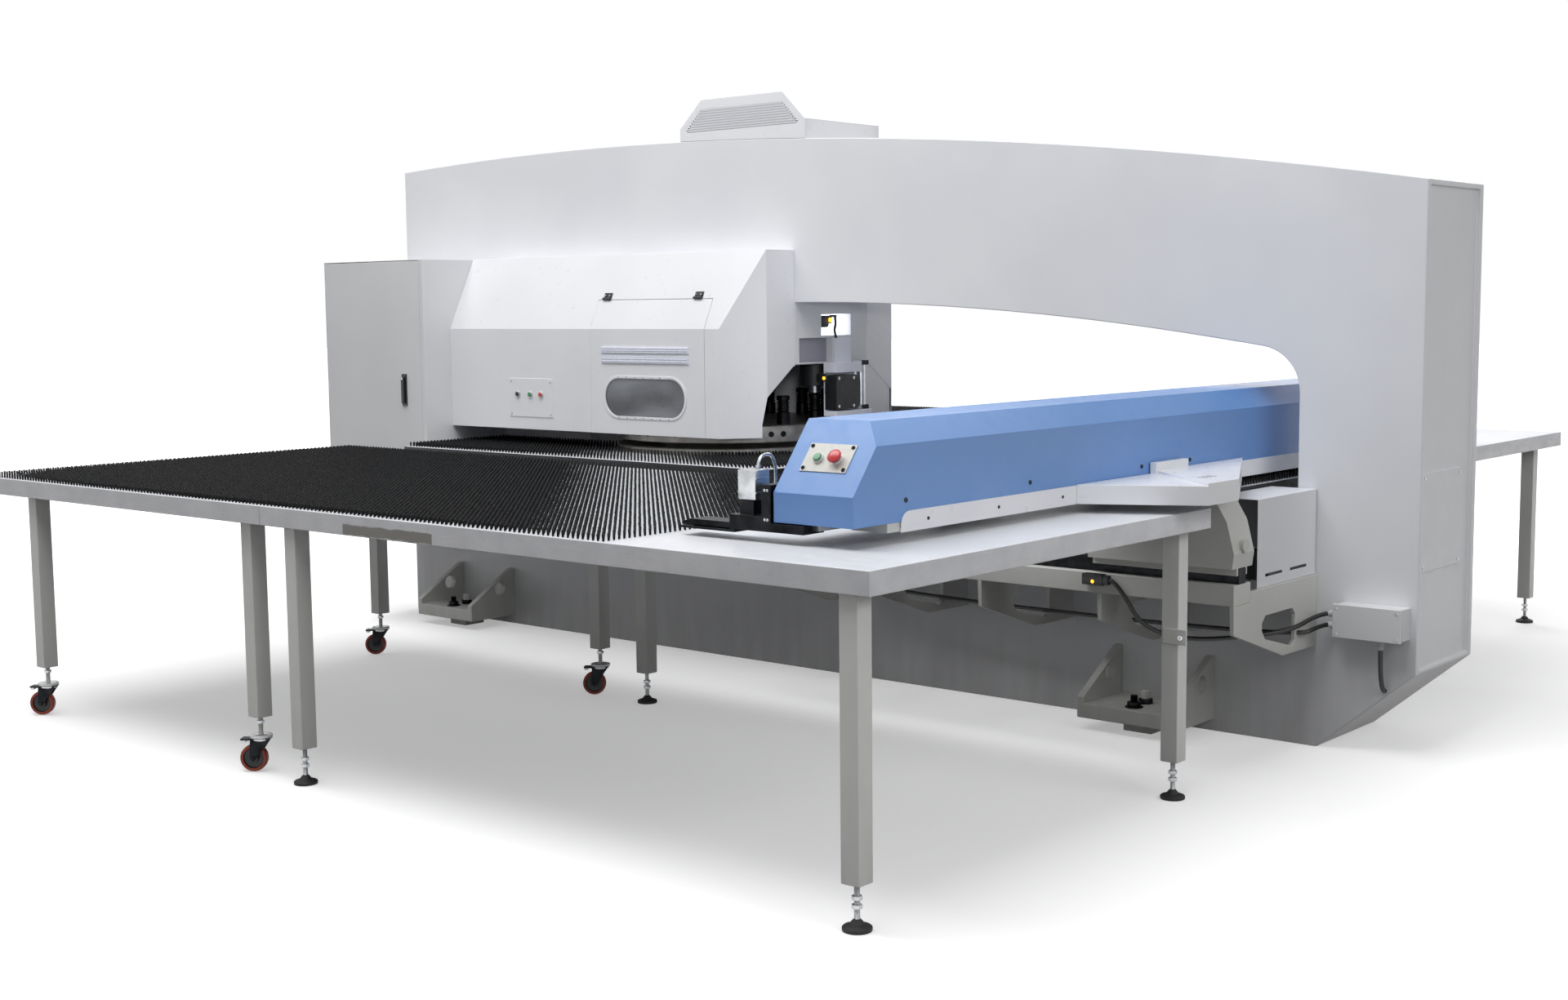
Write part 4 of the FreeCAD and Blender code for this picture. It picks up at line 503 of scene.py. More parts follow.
def bored(item, centre, low, high):
    """Cut a die's round bore through a finished piece."""
    bm = bmesh.new()
    disc(bm, Vector((centre.x, centre.y, low)), UP, DIE_RADIUS, high - low, 0.0001, 48)
    bmesh.ops.recalc_face_normals(bm, faces=bm.faces)
    mesh = baked(bm, "bore_cutter")
    cutter = linked("bore_cutter", mesh)
    cut = item.modifiers.new("bore", "BOOLEAN")
    cut.operation = "DIFFERENCE"
    cut.solver = "EXACT"
    cut.object = cutter
    evaluated = item.evaluated_get(bpy.context.evaluated_depsgraph_get())
    result = bpy.data.meshes.new_from_object(evaluated)
    item.modifiers.clear()
    old, item.data = item.data, result
    result.name = item.name
    bpy.data.objects.remove(cutter)
    bpy.data.meshes.remove(mesh)
    bpy.data.meshes.remove(old)
    result.set_sharp_from_angle(angle=math.radians(32))


def dressed(node, body, look, edge=0.0015, pick=None):
    """Copy of a CAD piece with merged faces, softened edges and flat faces that stay flat;
    pick gives each face's look by its centre and normal."""
    bm = bmesh.new()
    bm.from_mesh(frame["nodes"][node].data)
    bmesh.ops.remove_doubles(bm, verts=bm.verts, dist=2e-5)
    bmesh.ops.dissolve_limit(bm, angle_limit=math.radians(0.5), verts=bm.verts, edges=bm.edges)
    bmesh.ops.triangulate(bm, faces=[face for face in bm.faces if len(face.verts) > 4])
    for face in bm.faces:
        face.material_index = pick(face.calc_center_median(), face.normal) if pick else 0
    sharp = [e for e in bm.edges if len(e.link_faces) == 2
             and e.calc_face_angle(0.0) > math.radians(20)]
    soften(bm, sharp, edge)
    skin = finish(bm, node + "_skin", body, look, (node,), 60)
    weighted = skin.modifiers.new("flat_faces", "WEIGHTED_NORMAL")
    weighted.keep_sharp = True


def tube(name, points, radius, body, look):
    """Round tube along a smooth NURBS line."""
    curve = bpy.data.curves.new(name, "CURVE")
    curve.dimensions = "3D"
    curve.bevel_depth = radius
    curve.bevel_resolution = 4
    curve.use_fill_caps = True
    spline = curve.splines.new("NURBS")
    spline.points.add(len(points) - 1)
    for point, place in zip(spline.points, points):
        point.co = (*place, 1.0)
    spline.order_u = 3
    spline.use_endpoint_u = True
    spline.resolution_u = 12
    curve.materials.append(FINISH[look])
    riding(name, curve, body)


# ------------------------------------------------------------------ frame
def build_frame(edge):
    """Closed frame with its service panel and anchor feet."""
    dressed("o_frame", "machine", "white", edge)
    dressed("service_panel", "machine", "white", 0.0008)
    screws("service_panel_screws", "machine", "frame_paint", "bolt",
           product((2.744,), (-0.206, 0.114), (0.671, 0.984)), RIGHT, 0.006, 0.003)
    dressed("anchor_feet", "machine", "casting", 0.003)
    with piece("anchor_bolts", "machine", "bare_plate", "black_steel") as bm:
        for x, side in product((-2.145, 1.775), SIDES):
            bolt = Vector((x, side * 0.480, FOOT_PLATE_TOP))
            disc(bm, bolt, UP, 0.034, 0.004)
            hexagon(bm, bolt + UP * 0.004, UP, 0.026, 0.018)
            threaded(bm, bolt + UP * 0.022, 0.014, 0.024)
            hexagon(bm, (x, side * 0.395, FOOT_PLATE_TOP), UP, 0.027, 0.020)


def build_jamb_lamp():
    """Lit panel, sensor and its lead in the recess beside the ram, and the bay's side sheet."""
    blocks("jamb_light_panel", "machine", "cabinet_paint", "work_light", [
        ((RECESS_BACK, -0.068, 1.467), (RECESS_FACE, 0.136, 1.557), 0.0005)])
    # the recess plate wears the grey of painted shade
    blocks("jamb_recess_plate", "machine", "bare_plate", "recess", [
        ((RECESS_BACK, -0.222, 1.349), (RECESS_FACE, 0.006, 1.452), 0.0005)])
    blocks("jamb_sensor_body", "machine", "black_plastic", "black_plastic", [
        ((-0.086, -0.064, 1.500), (-0.056, -0.006, 1.553), 0.010),
        ((-0.082, -0.020, 1.517), (-0.060, 0.018, 1.553), 0.005),
        ((-0.078, 0.016, 1.545), (-0.066, 0.060, 1.556), 0.003)])
    with piece("jamb_sensor_lens", "machine", "black_plastic", "amber") as bm:
        disc(bm, (-0.060, 0.000, 1.533), RIGHT, 0.010, 0.004)
    tube("jamb_sensor_lead", [
        (-0.072, 0.050, 1.550), (-0.070, 0.056, 1.520), (-0.064, 0.036, 1.490),
        (-0.052, 0.026, 1.475), (-0.046, 0.026, 1.453)], 0.006, "machine",
        "jacket")
    blocks("bay_side_sheet", "machine", "frame_paint", "white", [
        ((-0.0570, 0.129, 1.076), (-0.0530, 0.427, 1.3395), 0.001)])


# ------------------------------------------------------------------ covers
def build_hood():
    """Sheet hood on the crown with its perforated panels."""
    dressed("top_hood", "machine", "cover", 0.0008)
    for side, y in (("front", -0.2565), ("rear", 0.2655)):
        with piece("hood_grille_" + side, "machine", "frame_paint", "perforated") as bm:
            block(bm, (-0.676, y, 2.384), (-0.028, y + 0.001, 2.480), 0)
            top = [vert for vert in bm.verts if vert.co.z > 2.4]
            bmesh.ops.scale(bm, vec=(0.7346, 1, 1), verts=top,
                            space=Matrix.Translation((0.351, 0, 0)))


def build_cabinet():
    """Electrical cabinet, its door, lock plate and lever."""
    dressed("electrical_cabinet", "machine", "cabinet")
    dressed("cabinet_door", "door_of_cabinet", ["cabinet", "black_plastic"],
            0.002, lambda centre, normal: int(centre.y < -0.7602))
    dressed("cabinet_handle", "cabinet_lever", "black_plastic", 0.003)
    with piece("cabinet_lock_barrel", "cabinet_lever", "bare_plate", "bolt") as bm:
        disc(bm, (-2.1265, -0.7765, 1.262), FRONT, 0.006, 0.002, 0.0005, 20)
    with piece("cabinet_hinge_pins", "machine", "bare_plate", "bolt") as bm:
        for z in (0.690, 1.189, 1.688):
            disc(bm, (-2.7440, -0.7565, z), UP, 0.0035, 0.06, 0.001, 16)


def build_turret_covers():
    """Folded covers over the turret, the lift-up door, its window, strips and hinges."""
    dressed("turret_cover", "machine", "cover", 0.002)
    dressed("rear_turret_cover", "machine", "cover", 0.002)
    dressed("turret_door", "door_of_turret", "cover", 0.0008)
    dressed("door_window", "door_of_turret", "pane", 0.0005)
    dressed("door_trim", "door_of_turret", ["cover", "strip"], 0.0008,
            lambda centre, normal: int(centre.z > 1.34))
    dressed("door_hinges", "machine", "black_plastic", 0.001)
    blocks("door_strip_bars", "door_of_turret", "aluminium_profile", "strip", [
        ((-0.902, COVER_FRONT - 0.0075, z), (-0.372, COVER_FRONT - 0.0055, z + 0.004), 0.0005)
        for z in (1.356, 1.367, 1.378, 1.404, 1.413)])
    columns = [-0.800 + 0.052 * index for index in range(7)]
    screws("window_screws", "door_of_turret", "bare_plate", "bolt",
           product(columns, (COVER_FRONT - 0.003,), (1.105, 1.287)), FRONT, 0.0035, 0.0022)
    screws("hinge_screws", "machine", "bare_plate", "bolt",
           product((-0.940, -0.912, -0.374, -0.346), (-0.5345,), (1.651,)),
           (0, -0.907, 0.421), 0.004, 0.003)


def build_controls():
    """Control plate on the turret cover with three push-buttons."""
    dressed("control_plate", "machine", "cover", 0.0008)
    screws("control_plate_screws", "machine", "bare_plate", "bolt",
           product((-1.526, -1.252), (CONTROL_FRONT,), (1.103, 1.256)), FRONT, 0.005, 0.0025)
    with piece("button_bezels", "machine", "bare_plate", "bolt") as bm:
        for x in BUTTON_X.values():
            lathe(bm, [(0.0112, 0), (0.0112, 0.0062), (0.0135, 0.0062), (0.0152, 0.0045),
                       (0.0152, 0)], (x, CONTROL_FRONT, BUTTON_Z), FRONT, 40)
    for colour, x in BUTTON_X.items():
        turned(colour + "_button_cap", colour + "_button", colour + "_plastic",
               colour + "_plastic",
               [(0, 0), (0.0108, 0), (0.0108, 0.0070), (0.0098, 0.0084), (0.006, 0.0089),
                (0, 0.0086)], (x, CONTROL_FRONT - 0.0016, BUTTON_Z), FRONT, 40,
               (colour + "_button",))


def on_slant(x, along, off):
    """Point on the slanted beam end: up its slope and out of it."""
    foot = Vector((x, -2.634 + math.tan(SLANT) * (1.146 - 1.088), 1.146))
    return foot + along * Vector((0, math.sin(SLANT), math.cos(SLANT))) + off * SLANT_OUT


def build_end_plate():
    """Start and stop buttons on the plate at the beam end."""
    dressed("beam_end_plate", "beam", "plate", 0.0008)
    screws("end_plate_screws", "beam", "bare_plate", "black_steel",
           [on_slant(x, along, 0.003) for x in (1.944, 2.086) for along in (0.010, 0.083)],
           SLANT_OUT, 0.006, 0.0025)
    turned("start_cap", "start_button", "green_plastic", "green_plastic",
           [(0, 0), (0.0128, 0), (0.0128, 0.0075), (0.0115, 0.0090), (0.007, 0.0094),
            (0, 0.0090)], on_slant(START_X, BEAM_BUTTON_RISE, 0.0055), SLANT_OUT, 40,
           ("start_button",))
    with piece("end_button_bezels", "beam", "bare_plate", "white_plastic") as bm:
        for x, bore in ((START_X, 0.0132), (STOP_X, 0.0095)):
            lathe(bm, [(bore, 0), (bore, 0.0073), (0.0160, 0.0060), (0.0165, 0)],
                  on_slant(x, BEAM_BUTTON_RISE, 0.003), SLANT_OUT, 40)
    turned("stop_mushroom", "stop_button", "red_plastic", "red_plastic",
           [(0, 0), (0.009, 0), (0.009, 0.010), (0.018, 0.011), (0.021, 0.014),
            (0.0208, 0.018), (0.017, 0.0215), (0.010, 0.0232), (0, 0.0237)],
           on_slant(STOP_X, BEAM_BUTTON_RISE, 0.0055), SLANT_OUT, 48, ("stop_button",))


# ------------------------------------------------------------------ turret and ram
def turret_disc(name, body, profile, node):
    """One disc of the turret with its shaft."""
    bm = bmesh.new()
    lathe(bm, profile, TURRET, UP, 160)
    return finish(bm, name, body, "turned", (node,))


def build_turrets():
    """Two bored turret discs with their shafts, black discs that paint the shade of the holes in
    the rim, and the bay housings.
    """
    rim = TURRET_RADIUS - TURRET_EDGE
    top, foot, shaft_top = 1.072, 0.998, 1.248
    upper = turret_disc("upper_turret_disc", "turret_upper", [
        (0.060, shaft_top), (0.060, top + 0.012), (0.090, top + 0.012), (0.090, top), (rim, top),
        (TURRET_RADIUS, top - TURRET_EDGE), (TURRET_RADIUS, foot + TURRET_EDGE), (rim, foot),
        (0, foot)], "upper_turret")
    bored(upper, TURRET - Vector((TOOL_CIRCLE, 0, 0)), 0.95, 1.10)
    bored(upper, TOOL_IN_USE, 0.95, 1.10)
    top, foot, shaft_foot = 0.974, 0.885, 0.852
    lower = turret_disc("lower_turret_disc", "turret_lower", [
        (0, top), (rim, top), (TURRET_RADIUS, top - TURRET_EDGE),
        (TURRET_RADIUS, foot + TURRET_EDGE), (rim, foot), (0.060, foot), (0.060, shaft_foot),
        (0, shaft_foot)], "lower_turret")
    bored(lower, TOOL_IN_USE, 0.86, 1.00)
    # painted shade: the holes in the rim are flat black discs on its face, not bored
    with piece("rim_bore_shade_discs", "turret_upper", "black_tool_steel", "black_steel") as bm:
        for station, side in product(range(STATIONS), SIDES):
            angle = math.tau * station / STATIONS + RIM_BORE_START + side * RIM_BORE_TURN
            out = Vector((math.cos(angle), math.sin(angle), 0))
            lathe(bm, [(0, 0.0006), (0.0095, 0.0006), (0.0125, 0.0008), (0.0135, -0.001)],
                  TURRET + out * TURRET_RADIUS + UP * RIM_BORE_HEIGHT, out, 20)
    dressed("bay_housings", "machine", "cast", 0.003)


def tool_shape(bm, centre, low, high):
    """Punch holder: barrel, stripping spring and striker head."""
    barrel = high - 0.075
    lathe(bm, [(0, low), (0.0295, low), (0.0295, barrel), (0.022, barrel + 0.004),
               (0.022, high - 0.022), (0.0295, high - 0.020), (0.0295, high - 0.004),
               (0.026, high), (0, high)], centre, UP, 28)
    for turn in range(5):
        height = barrel + 0.010 + turn * 0.009
        lathe(bm, [(0.0215, height - 0.0025), (0.0275, height - 0.0025), (0.0285, height),
                   (0.0275, height + 0.0025), (0.0215, height + 0.0025)], centre, UP, 28)


def build_tools():
    """Punch holders round the turret, the one under the ram, and the ram's rod. The station
    opposite the ram is empty."""
    tool_top = 1.200
    with piece("punch_holders", "turret_upper", "black_tool_steel", "black_steel",
               ("punch_tools",)) as bm:
        for station in range(1, STATIONS):
            if station != STATIONS // 2:
                angle = math.tau * station / STATIONS
                centre = TURRET + Vector((math.cos(angle), math.sin(angle), 0)) * TOOL_CIRCLE
                tool_shape(bm, centre, 1.0722, tool_top)
    with piece("punch_in_use", "active_punch", "black_tool_steel", "black_steel",
               ("active_punch",)) as bm:
        tool_shape(bm, TOOL_IN_USE, 1.002, tool_top)
    turned("ram_rod", "ram_striker", "turned_steel", "steel",
           [(0, 1.204), (0.024, 1.204), (0.028, 1.208), (0.028, 1.318), (0, 1.318)],
           TOOL_IN_USE, replaced=("ram_striker",))


def build_ram():
    """Valve block and index cylinder on their bracket beside the turret."""
    def pick(centre, normal):
        """Painted bracket, aluminium cylinder barrel and its black end caps."""
        on_barrel = 1.151 < centre.z < 1.329
        if centre.x < 0.0205 and centre.y < 0.1345:
            return 0
        if on_barrel and abs(normal.z) < 0.5:
            return 1
        off_barrel = centre.z < 1.151 or centre.z > 1.329
        return 2 if centre.y > 0.134 and centre.x < 0.015 and off_barrel else 0

    dressed("ram_bracket", "machine", ["bracket", "aluminium", "black_steel"],
            pick=pick)
    dressed("ram_housing", "machine", "cast", 0.004)
    screws("valve_screws", "machine", "bare_plate", "bolt",
           product((0.024,), (-0.045, 0.060), (1.150, 1.275)), RIGHT, 0.007, 0.005)
    with piece("ram_indicator", "machine", "red_plastic", "amber") as bm:
        disc(bm, (-0.002, -0.114, 1.278), FRONT, 0.007, 0.004)
    blocks("ram_indicator_body", "machine", "black_plastic", "black_plastic", [
        ((-0.047, -0.113, 1.262), (0.004, -0.098, 1.298), 0.002)])


# ------------------------------------------------------------------ tables
def build_tables():
    """Outer tables on square legs and the centre table round the turret."""
    def pick(centre, normal):
        """Film on the folded rims, paint on the top and the legs."""
        if centre.z < RIM_FOOT:
            return 2
        return int(abs(normal.z) < 0.2 and RIM_FOOT < centre.z < TABLE_TOP + 0.001)

    for node in ("front_table_left", "front_table_right", "rear_table"):
        dressed(node, "machine", ["sheet", "film", "leg"], 0.0025, pick)
    dressed("centre_table", "machine", ["sheet", "cast"], 0.002,
            lambda centre, normal: int(centre.z < TABLE_TOP - 0.001))
    turned("tie_bolt", "machine", "bare_plate", "bolt",
           [(0, 0.004), (0.004, 0.004), (0.0045, 0.008), (0.008, 0.008), (0.009, 0.006),
            (0.009, 0), (0, 0)], (2.378, -1.241, 0.536), FRONT, 20)


def build_levelling_feet():
    """Threaded feet with two nuts and a rubber-edged pad under each fixed leg."""
    origins = [Vector((x, y, 0)) for x, y in FOOT_LEGS]
    with piece("levelling_stems", "machine", "bare_plate", "bolt", ("levelling_feet",)) as bm:
        for origin in origins:
            threaded(bm, origin + UP * 0.024, 0.008, 0.101)
            for height in (0.081, 0.058):
                hexagon(bm, origin + UP * height, UP, 0.0150, 0.011)
    with piece("levelling_pads", "machine", "black_plastic", "rubber") as bm:
        for origin in origins:
            lathe(bm, [(0, 0), (0.039, 0), (0.040, 0.002), (0.040, 0.009), (0.037, 0.012),
                       (0.020, 0.018), (0.014, 0.026), (0.010, 0.030), (0, 0.030)],
                  origin, UP, 40)


def build_caster(index, place):
    """One swivel caster: fork, race with its brake pedal, and a two-part wheel."""
    fork, wheel = f"caster_fork_{index}", f"caster_wheel_{index}"
    dressed(fork, fork, "black_steel")
    with piece(f"caster_race_{index}", fork, "bare_plate", "bolt") as bm:
        lathe(bm, [(0, 0.108), (0.026, 0.108), (0.030, 0.112), (0.030, 0.1175), (0, 0.1175)],
              Vector())
        block(bm, (-0.066, -0.018, 0.104), (-0.050, 0.018, 0.117), 0.003)
        bmesh.ops.transform(bm, matrix=place, verts=bm.verts)
    hub = Vector((-CASTER_TRAIL, 0, WHEEL_RADIUS))
    with piece(f"caster_tyre_{index}", wheel, "wheel_tread", ["tread", "black_plastic"],
               (wheel,)) as bm:
        lathe(bm, [(0.036, -0.014), (0.044, -0.0148), (0.0475, -0.010), (WHEEL_RADIUS, 0),
                   (0.0475, 0.010), (0.044, 0.0148), (0.036, 0.014)], hub, REAR, 48)
        lathe(bm, [(0.036, 0.014), (0.034, 0.006), (0.018, 0.005), (0.016, 0.0148),
                   (0.0085, 0.0148), (0.0085, -0.0148), (0.016, -0.0148), (0.018, -0.005),
                   (0.034, -0.006), (0.036, -0.014)], hub, REAR, 48)
        for face in bm.faces:
            reach = face.calc_center_median() - hub
            face.material_index = int(math.hypot(reach.x, reach.z) < 0.0355)
        bmesh.ops.transform(bm, matrix=place, verts=bm.verts)


def build_casters():
    """Swivel casters under the left table, on threaded studs."""
    origins = [Vector((x, y, 0)) for x, y in CASTER_LEGS]
    with piece("caster_studs", "machine", "bare_plate", "black_steel") as bm:
        for origin in origins:
            threaded(bm, origin + UP * 0.131, 0.008, 0.066)
    with piece("caster_stems", "machine", "bare_plate", "bolt") as bm:
        for origin in origins:
            hexagon(bm, origin + UP * 0.170, UP, 0.0150, 0.011)
            lathe(bm, [(0, 0.119), (0.028, 0.119), (0.040, 0.124), (0.040, 0.127),
                       (0.024, 0.131), (0, 0.131)], origin, UP, 40)
    for index, origin in enumerate(origins, 1):
        build_caster(index, Matrix.Translation(origin) @ Matrix.Rotation(CASTER_ANGLE, 4, "Z"))


# ------------------------------------------------------------------ brushes
def tuft_template():
    """One bundle of bristles: splayed a little at its cut tip, with no face at its foot."""
    bm = bmesh.new()
    height = BRUSH_HEIGHT - 0.001
    bmesh.ops.create_cone(bm, cap_ends=True, segments=5, radius1=0.0034, radius2=0.0042,
                          depth=height, matrix=Matrix.Translation((0, 0, height / 2)))
    foot = [face for face in bm.faces if face.normal.z < -0.9]
    bmesh.ops.delete(bm, geom=foot, context="FACES_ONLY")
    return baked(bm, "tuft_template")


def plant(name, places, node):
    """Tufts standing at given places, each leaning its own way."""
    template = tuft_template()
    chance = random.Random(SEED)
    bm = bmesh.new()
    known = 0
    for x, y in places:
        bm.from_mesh(template)
        bm.verts.ensure_lookup_table()
        lean_x = chance.uniform(-0.0011, 0.0011)
        lean_y = chance.uniform(-0.0011, 0.0011)
        cut = chance.uniform(0.955, 1.0)
        turn = chance.uniform(0, math.tau)
        cosine, sine = math.cos(turn), math.sin(turn)
        for vert in bm.verts[known:]:
            rise = vert.co.z * cut
            share = rise / BRUSH_HEIGHT
            px = vert.co.x * cosine - vert.co.y * sine
            py = vert.co.x * sine + vert.co.y * cosine
            vert.co = (x + px + lean_x * share, y + py + lean_y * share, TABLE_TOP + rise)
        known = len(bm.verts)
    for face in bm.faces:
        face.smooth = True
    mesh = baked(bm, name)
    bpy.data.meshes.remove(template)
    mesh.materials.append(FINISH["bristle"])
    riding(name, mesh, "machine", (node,))


def field_places():
    """Places of the tufts on the front tables, row by row from the free edge inwards."""
    rows = int((TABLE_BACK - TABLE_FRONT - 2 * MARGIN) / PITCH) + 1
    columns = int((FIELD_RIGHT - FIELD_LEFT) / PITCH) + 1
    return [(FIELD_LEFT + PITCH * column, TABLE_FRONT + MARGIN + PITCH * row)
            for row in range(rows) for column in range(columns)]


def centre_places():
    """Places of the tufts on the centre table, clear of the turret and the frame."""
    places = []
    rows = int((-CENTRE_FRONT - MARGIN) / PITCH)
    columns = int((CENTRE_RIGHT - CENTRE_LEFT) / PITCH)
    for row, column in product(range(-rows, rows + 1), range(columns + 1)):
        x, y = CENTRE_LEFT + MARGIN + PITCH * column, PITCH * row
        limit = CENTRE_RIGHT if abs(y) < STEP_Y else STEP_X
        in_turret = math.hypot(x - TURRET.x, y) < CLEAR_RADIUS
        in_frame = abs(y) < FRAME_HALF + 0.012 and x < -0.016
        if x <= limit - MARGIN and not in_turret and not in_frame:
            places.append((x, y))
    return places


def build_brushes():
    """Brush fields of the three tables."""
    front = field_places()
    plant("front_tufts", front, "front_brushes")
    plant("rear_tufts", [(x, -y) for x, y in front], "rear_brushes")
    plant("centre_tufts", centre_places(), "centre_brushes")


# ------------------------------------------------------------------ Y axis
def build_y_axis():
    """Rail beams, rails, brackets, carriages, screw, motor and their cover."""
    dressed("y_rail_beams", "machine", "casting", 0.003)
    dressed("y_rails", "machine", "black_steel", 0.002)
    dressed("rail_brackets", "machine", "casting", 0.002)
    dressed("y_carriages", "beam", "casting", 0.004)
    dressed("y_servo_motor", "machine", "cast", 0.004)
    dressed("y_drive_cover", "machine", "white")
    with piece("bracket_bolts", "machine", "bare_plate", "black_steel") as bm:
        for index, side, z in product(range(5), SIDES, (0.420, 0.500, 0.580)):
            hexagon(bm, (0.335 + 0.505 * index, side * 0.270, z), LEFT, 0.009, 0.006)
    screws("rail_screws", "machine", "turned_steel", "steel",
           [(0.380 + 0.1 * step, side * 0.834, 0.7142) for side in SIDES for step in range(20)],
           UP, 0.008, 0.001, 12)
    blocks("motor_fins", "machine", "black_casting", "cast", [
        ((x, -0.690, 0.650), (x + 0.006, -0.590, 0.750), 0.001)
        for x in (2.245, 2.262, 2.279, 2.296, 2.313, 2.330)])
    with piece("ball_screw_thread", "y_ball_screw", "turned_steel", "steel",
               ("y_ball_screw",)) as bm:
        screw_thread(bm)
    with piece("ball_screw_core", "y_ball_screw", "turned_steel", "steel") as bm:
        disc(bm, SCREW_START - RIGHT * 0.002, RIGHT, 0.0136, 1.872)


def screw_thread(bm, steps=24):
    """Round-bottomed thread, from shares of the lead and of the radius."""
    turns = int((SCREW_END - SCREW_START.x) / SCREW_LEAD) - 1
    section = [(0.0, 1.0), (0.30, 1.0), (0.38, 0.93), (0.50, 0.86), (0.62, 0.93), (0.70, 1.0),
               (1.0, 1.0)]
    points = [bm.verts.new(SCREW_START + Vector((share * SCREW_LEAD, 0,
                                                 SCREW_RADIUS * 0.995 * level)))
              for share, level in section]
    edges = [bm.edges.new(pair) for pair in zip(points, points[1:])]
    bmesh.ops.spin(bm, geom=points + edges, cent=SCREW_START, axis=RIGHT,
                   dvec=RIGHT * (SCREW_LEAD / steps), angle=math.tau * turns,
                   steps=steps * turns)


# ------------------------------------------------------------------ X beam and clamps
def build_beam():
    """Beam, its blue cover, white skirt, drive cover and screws."""
    dressed("x_beam", "beam", ["casting", "cover"], 0.002,
            lambda centre, normal: int(centre.x > 2.157))
    dressed("x_beam_cover", "beam", "blue", 0.004)
    dressed("drive_cover", "beam", "cover")
    with piece("beam_side_screws", "beam", "black_plastic", "black_plastic") as bm:
        for y in (-2.400, -1.778, -1.114, -0.789, 0.300, 1.000, 1.650):
            cap_screw(bm, (2.158, y, 1.063), RIGHT, 0.007, 0.003)
        for y in (-2.300, -1.950, -1.600):
            cap_screw(bm, (2.1615, y, 1.004), RIGHT, 0.005, 0.002)
    # painted shade: thin black sheets on the slot floors darken the drive cover's vent slots
    blocks("drive_cover_slot_shade_sheets", "beam", "black_plastic", "black_plastic", [
        ((2.395, y, VENT_FLOOR), (2.429, y + 0.007, VENT_FLOOR + 0.0005), 0.0001)
        for y in (-1.180, -1.150, -1.120)])


def build_clamps():
    """Slide, three clamps with jaws, air cylinders and bent air pipes."""
    dressed("x_carriage", "clamp_carriage", "steel", 0.001)
    dressed("clamp_bodies", "clamp_carriage", "black_steel", 0.002)
    dressed("clamp_jaws", "clamp_jaws", "black_steel", 0.001)
    for index, y in enumerate(CLAMP_YS, 1):
        tube(f"clamp_air_pipe_{index}", [
            (PIPE_X, y + 0.020, 1.144), (PIPE_X, y + 0.020, 1.182), (PIPE_X, y + 0.095, 1.182),
            (PIPE_X, y + 0.095, 1.040), (PIPE_X, y + 0.031, 1.040)], 0.005,
            "clamp_carriage", "bolt")
    with piece("clamp_cylinder_bodies", "clamp_carriage", "aluminium_profile", "aluminium",
               ("clamp_cylinders",)) as bm:
        for y in CLAMP_YS:
            block(bm, (1.739, y - 0.031, 1.060), (1.805, y + 0.031, 1.144), 0.003)
            for z in (1.078, 1.118):
                block(bm, (1.737, y - 0.029, z), (1.807, y + 0.029, z + 0.004), 0.0005)
    with piece("clamp_screws", "clamp_carriage", "bare_plate", "bolt") as bm:
        for y in CLAMP_YS:
            for x, shift in product((1.749, 1.795), (-0.022, 0.022)):
                cap_screw(bm, (x, y + shift, 1.1435), UP, 0.005, 0.003)
            for z, x in product((1.092, 1.010), (1.852, 1.862)):
                cap_screw(bm, (x, y - 0.0445, z), FRONT, 0.004, 0.003)
    with piece("air_fittings", "clamp_carriage", "bare_plate", "bolt") as bm:
        for y in CLAMP_YS:
            hexagon(bm, (PIPE_X, y + 0.020, 1.143), UP, 0.0085, 0.010)
            hexagon(bm, (PIPE_X, y + 0.031, 1.100), REAR, 0.0085, 0.010)
            disc(bm, (PIPE_X, y + 0.030, 1.040), REAR, 0.007, 0.006)
    blocks("jaw_teeth", "clamp_carriage", "black_tool_steel", "steel", [
        ((1.530 + row * 0.006, y - 0.036, 0.9735), (1.533 + row * 0.006, y + 0.036, 0.9746),
         0.0002) for y in CLAMP_YS for row in range(7)])


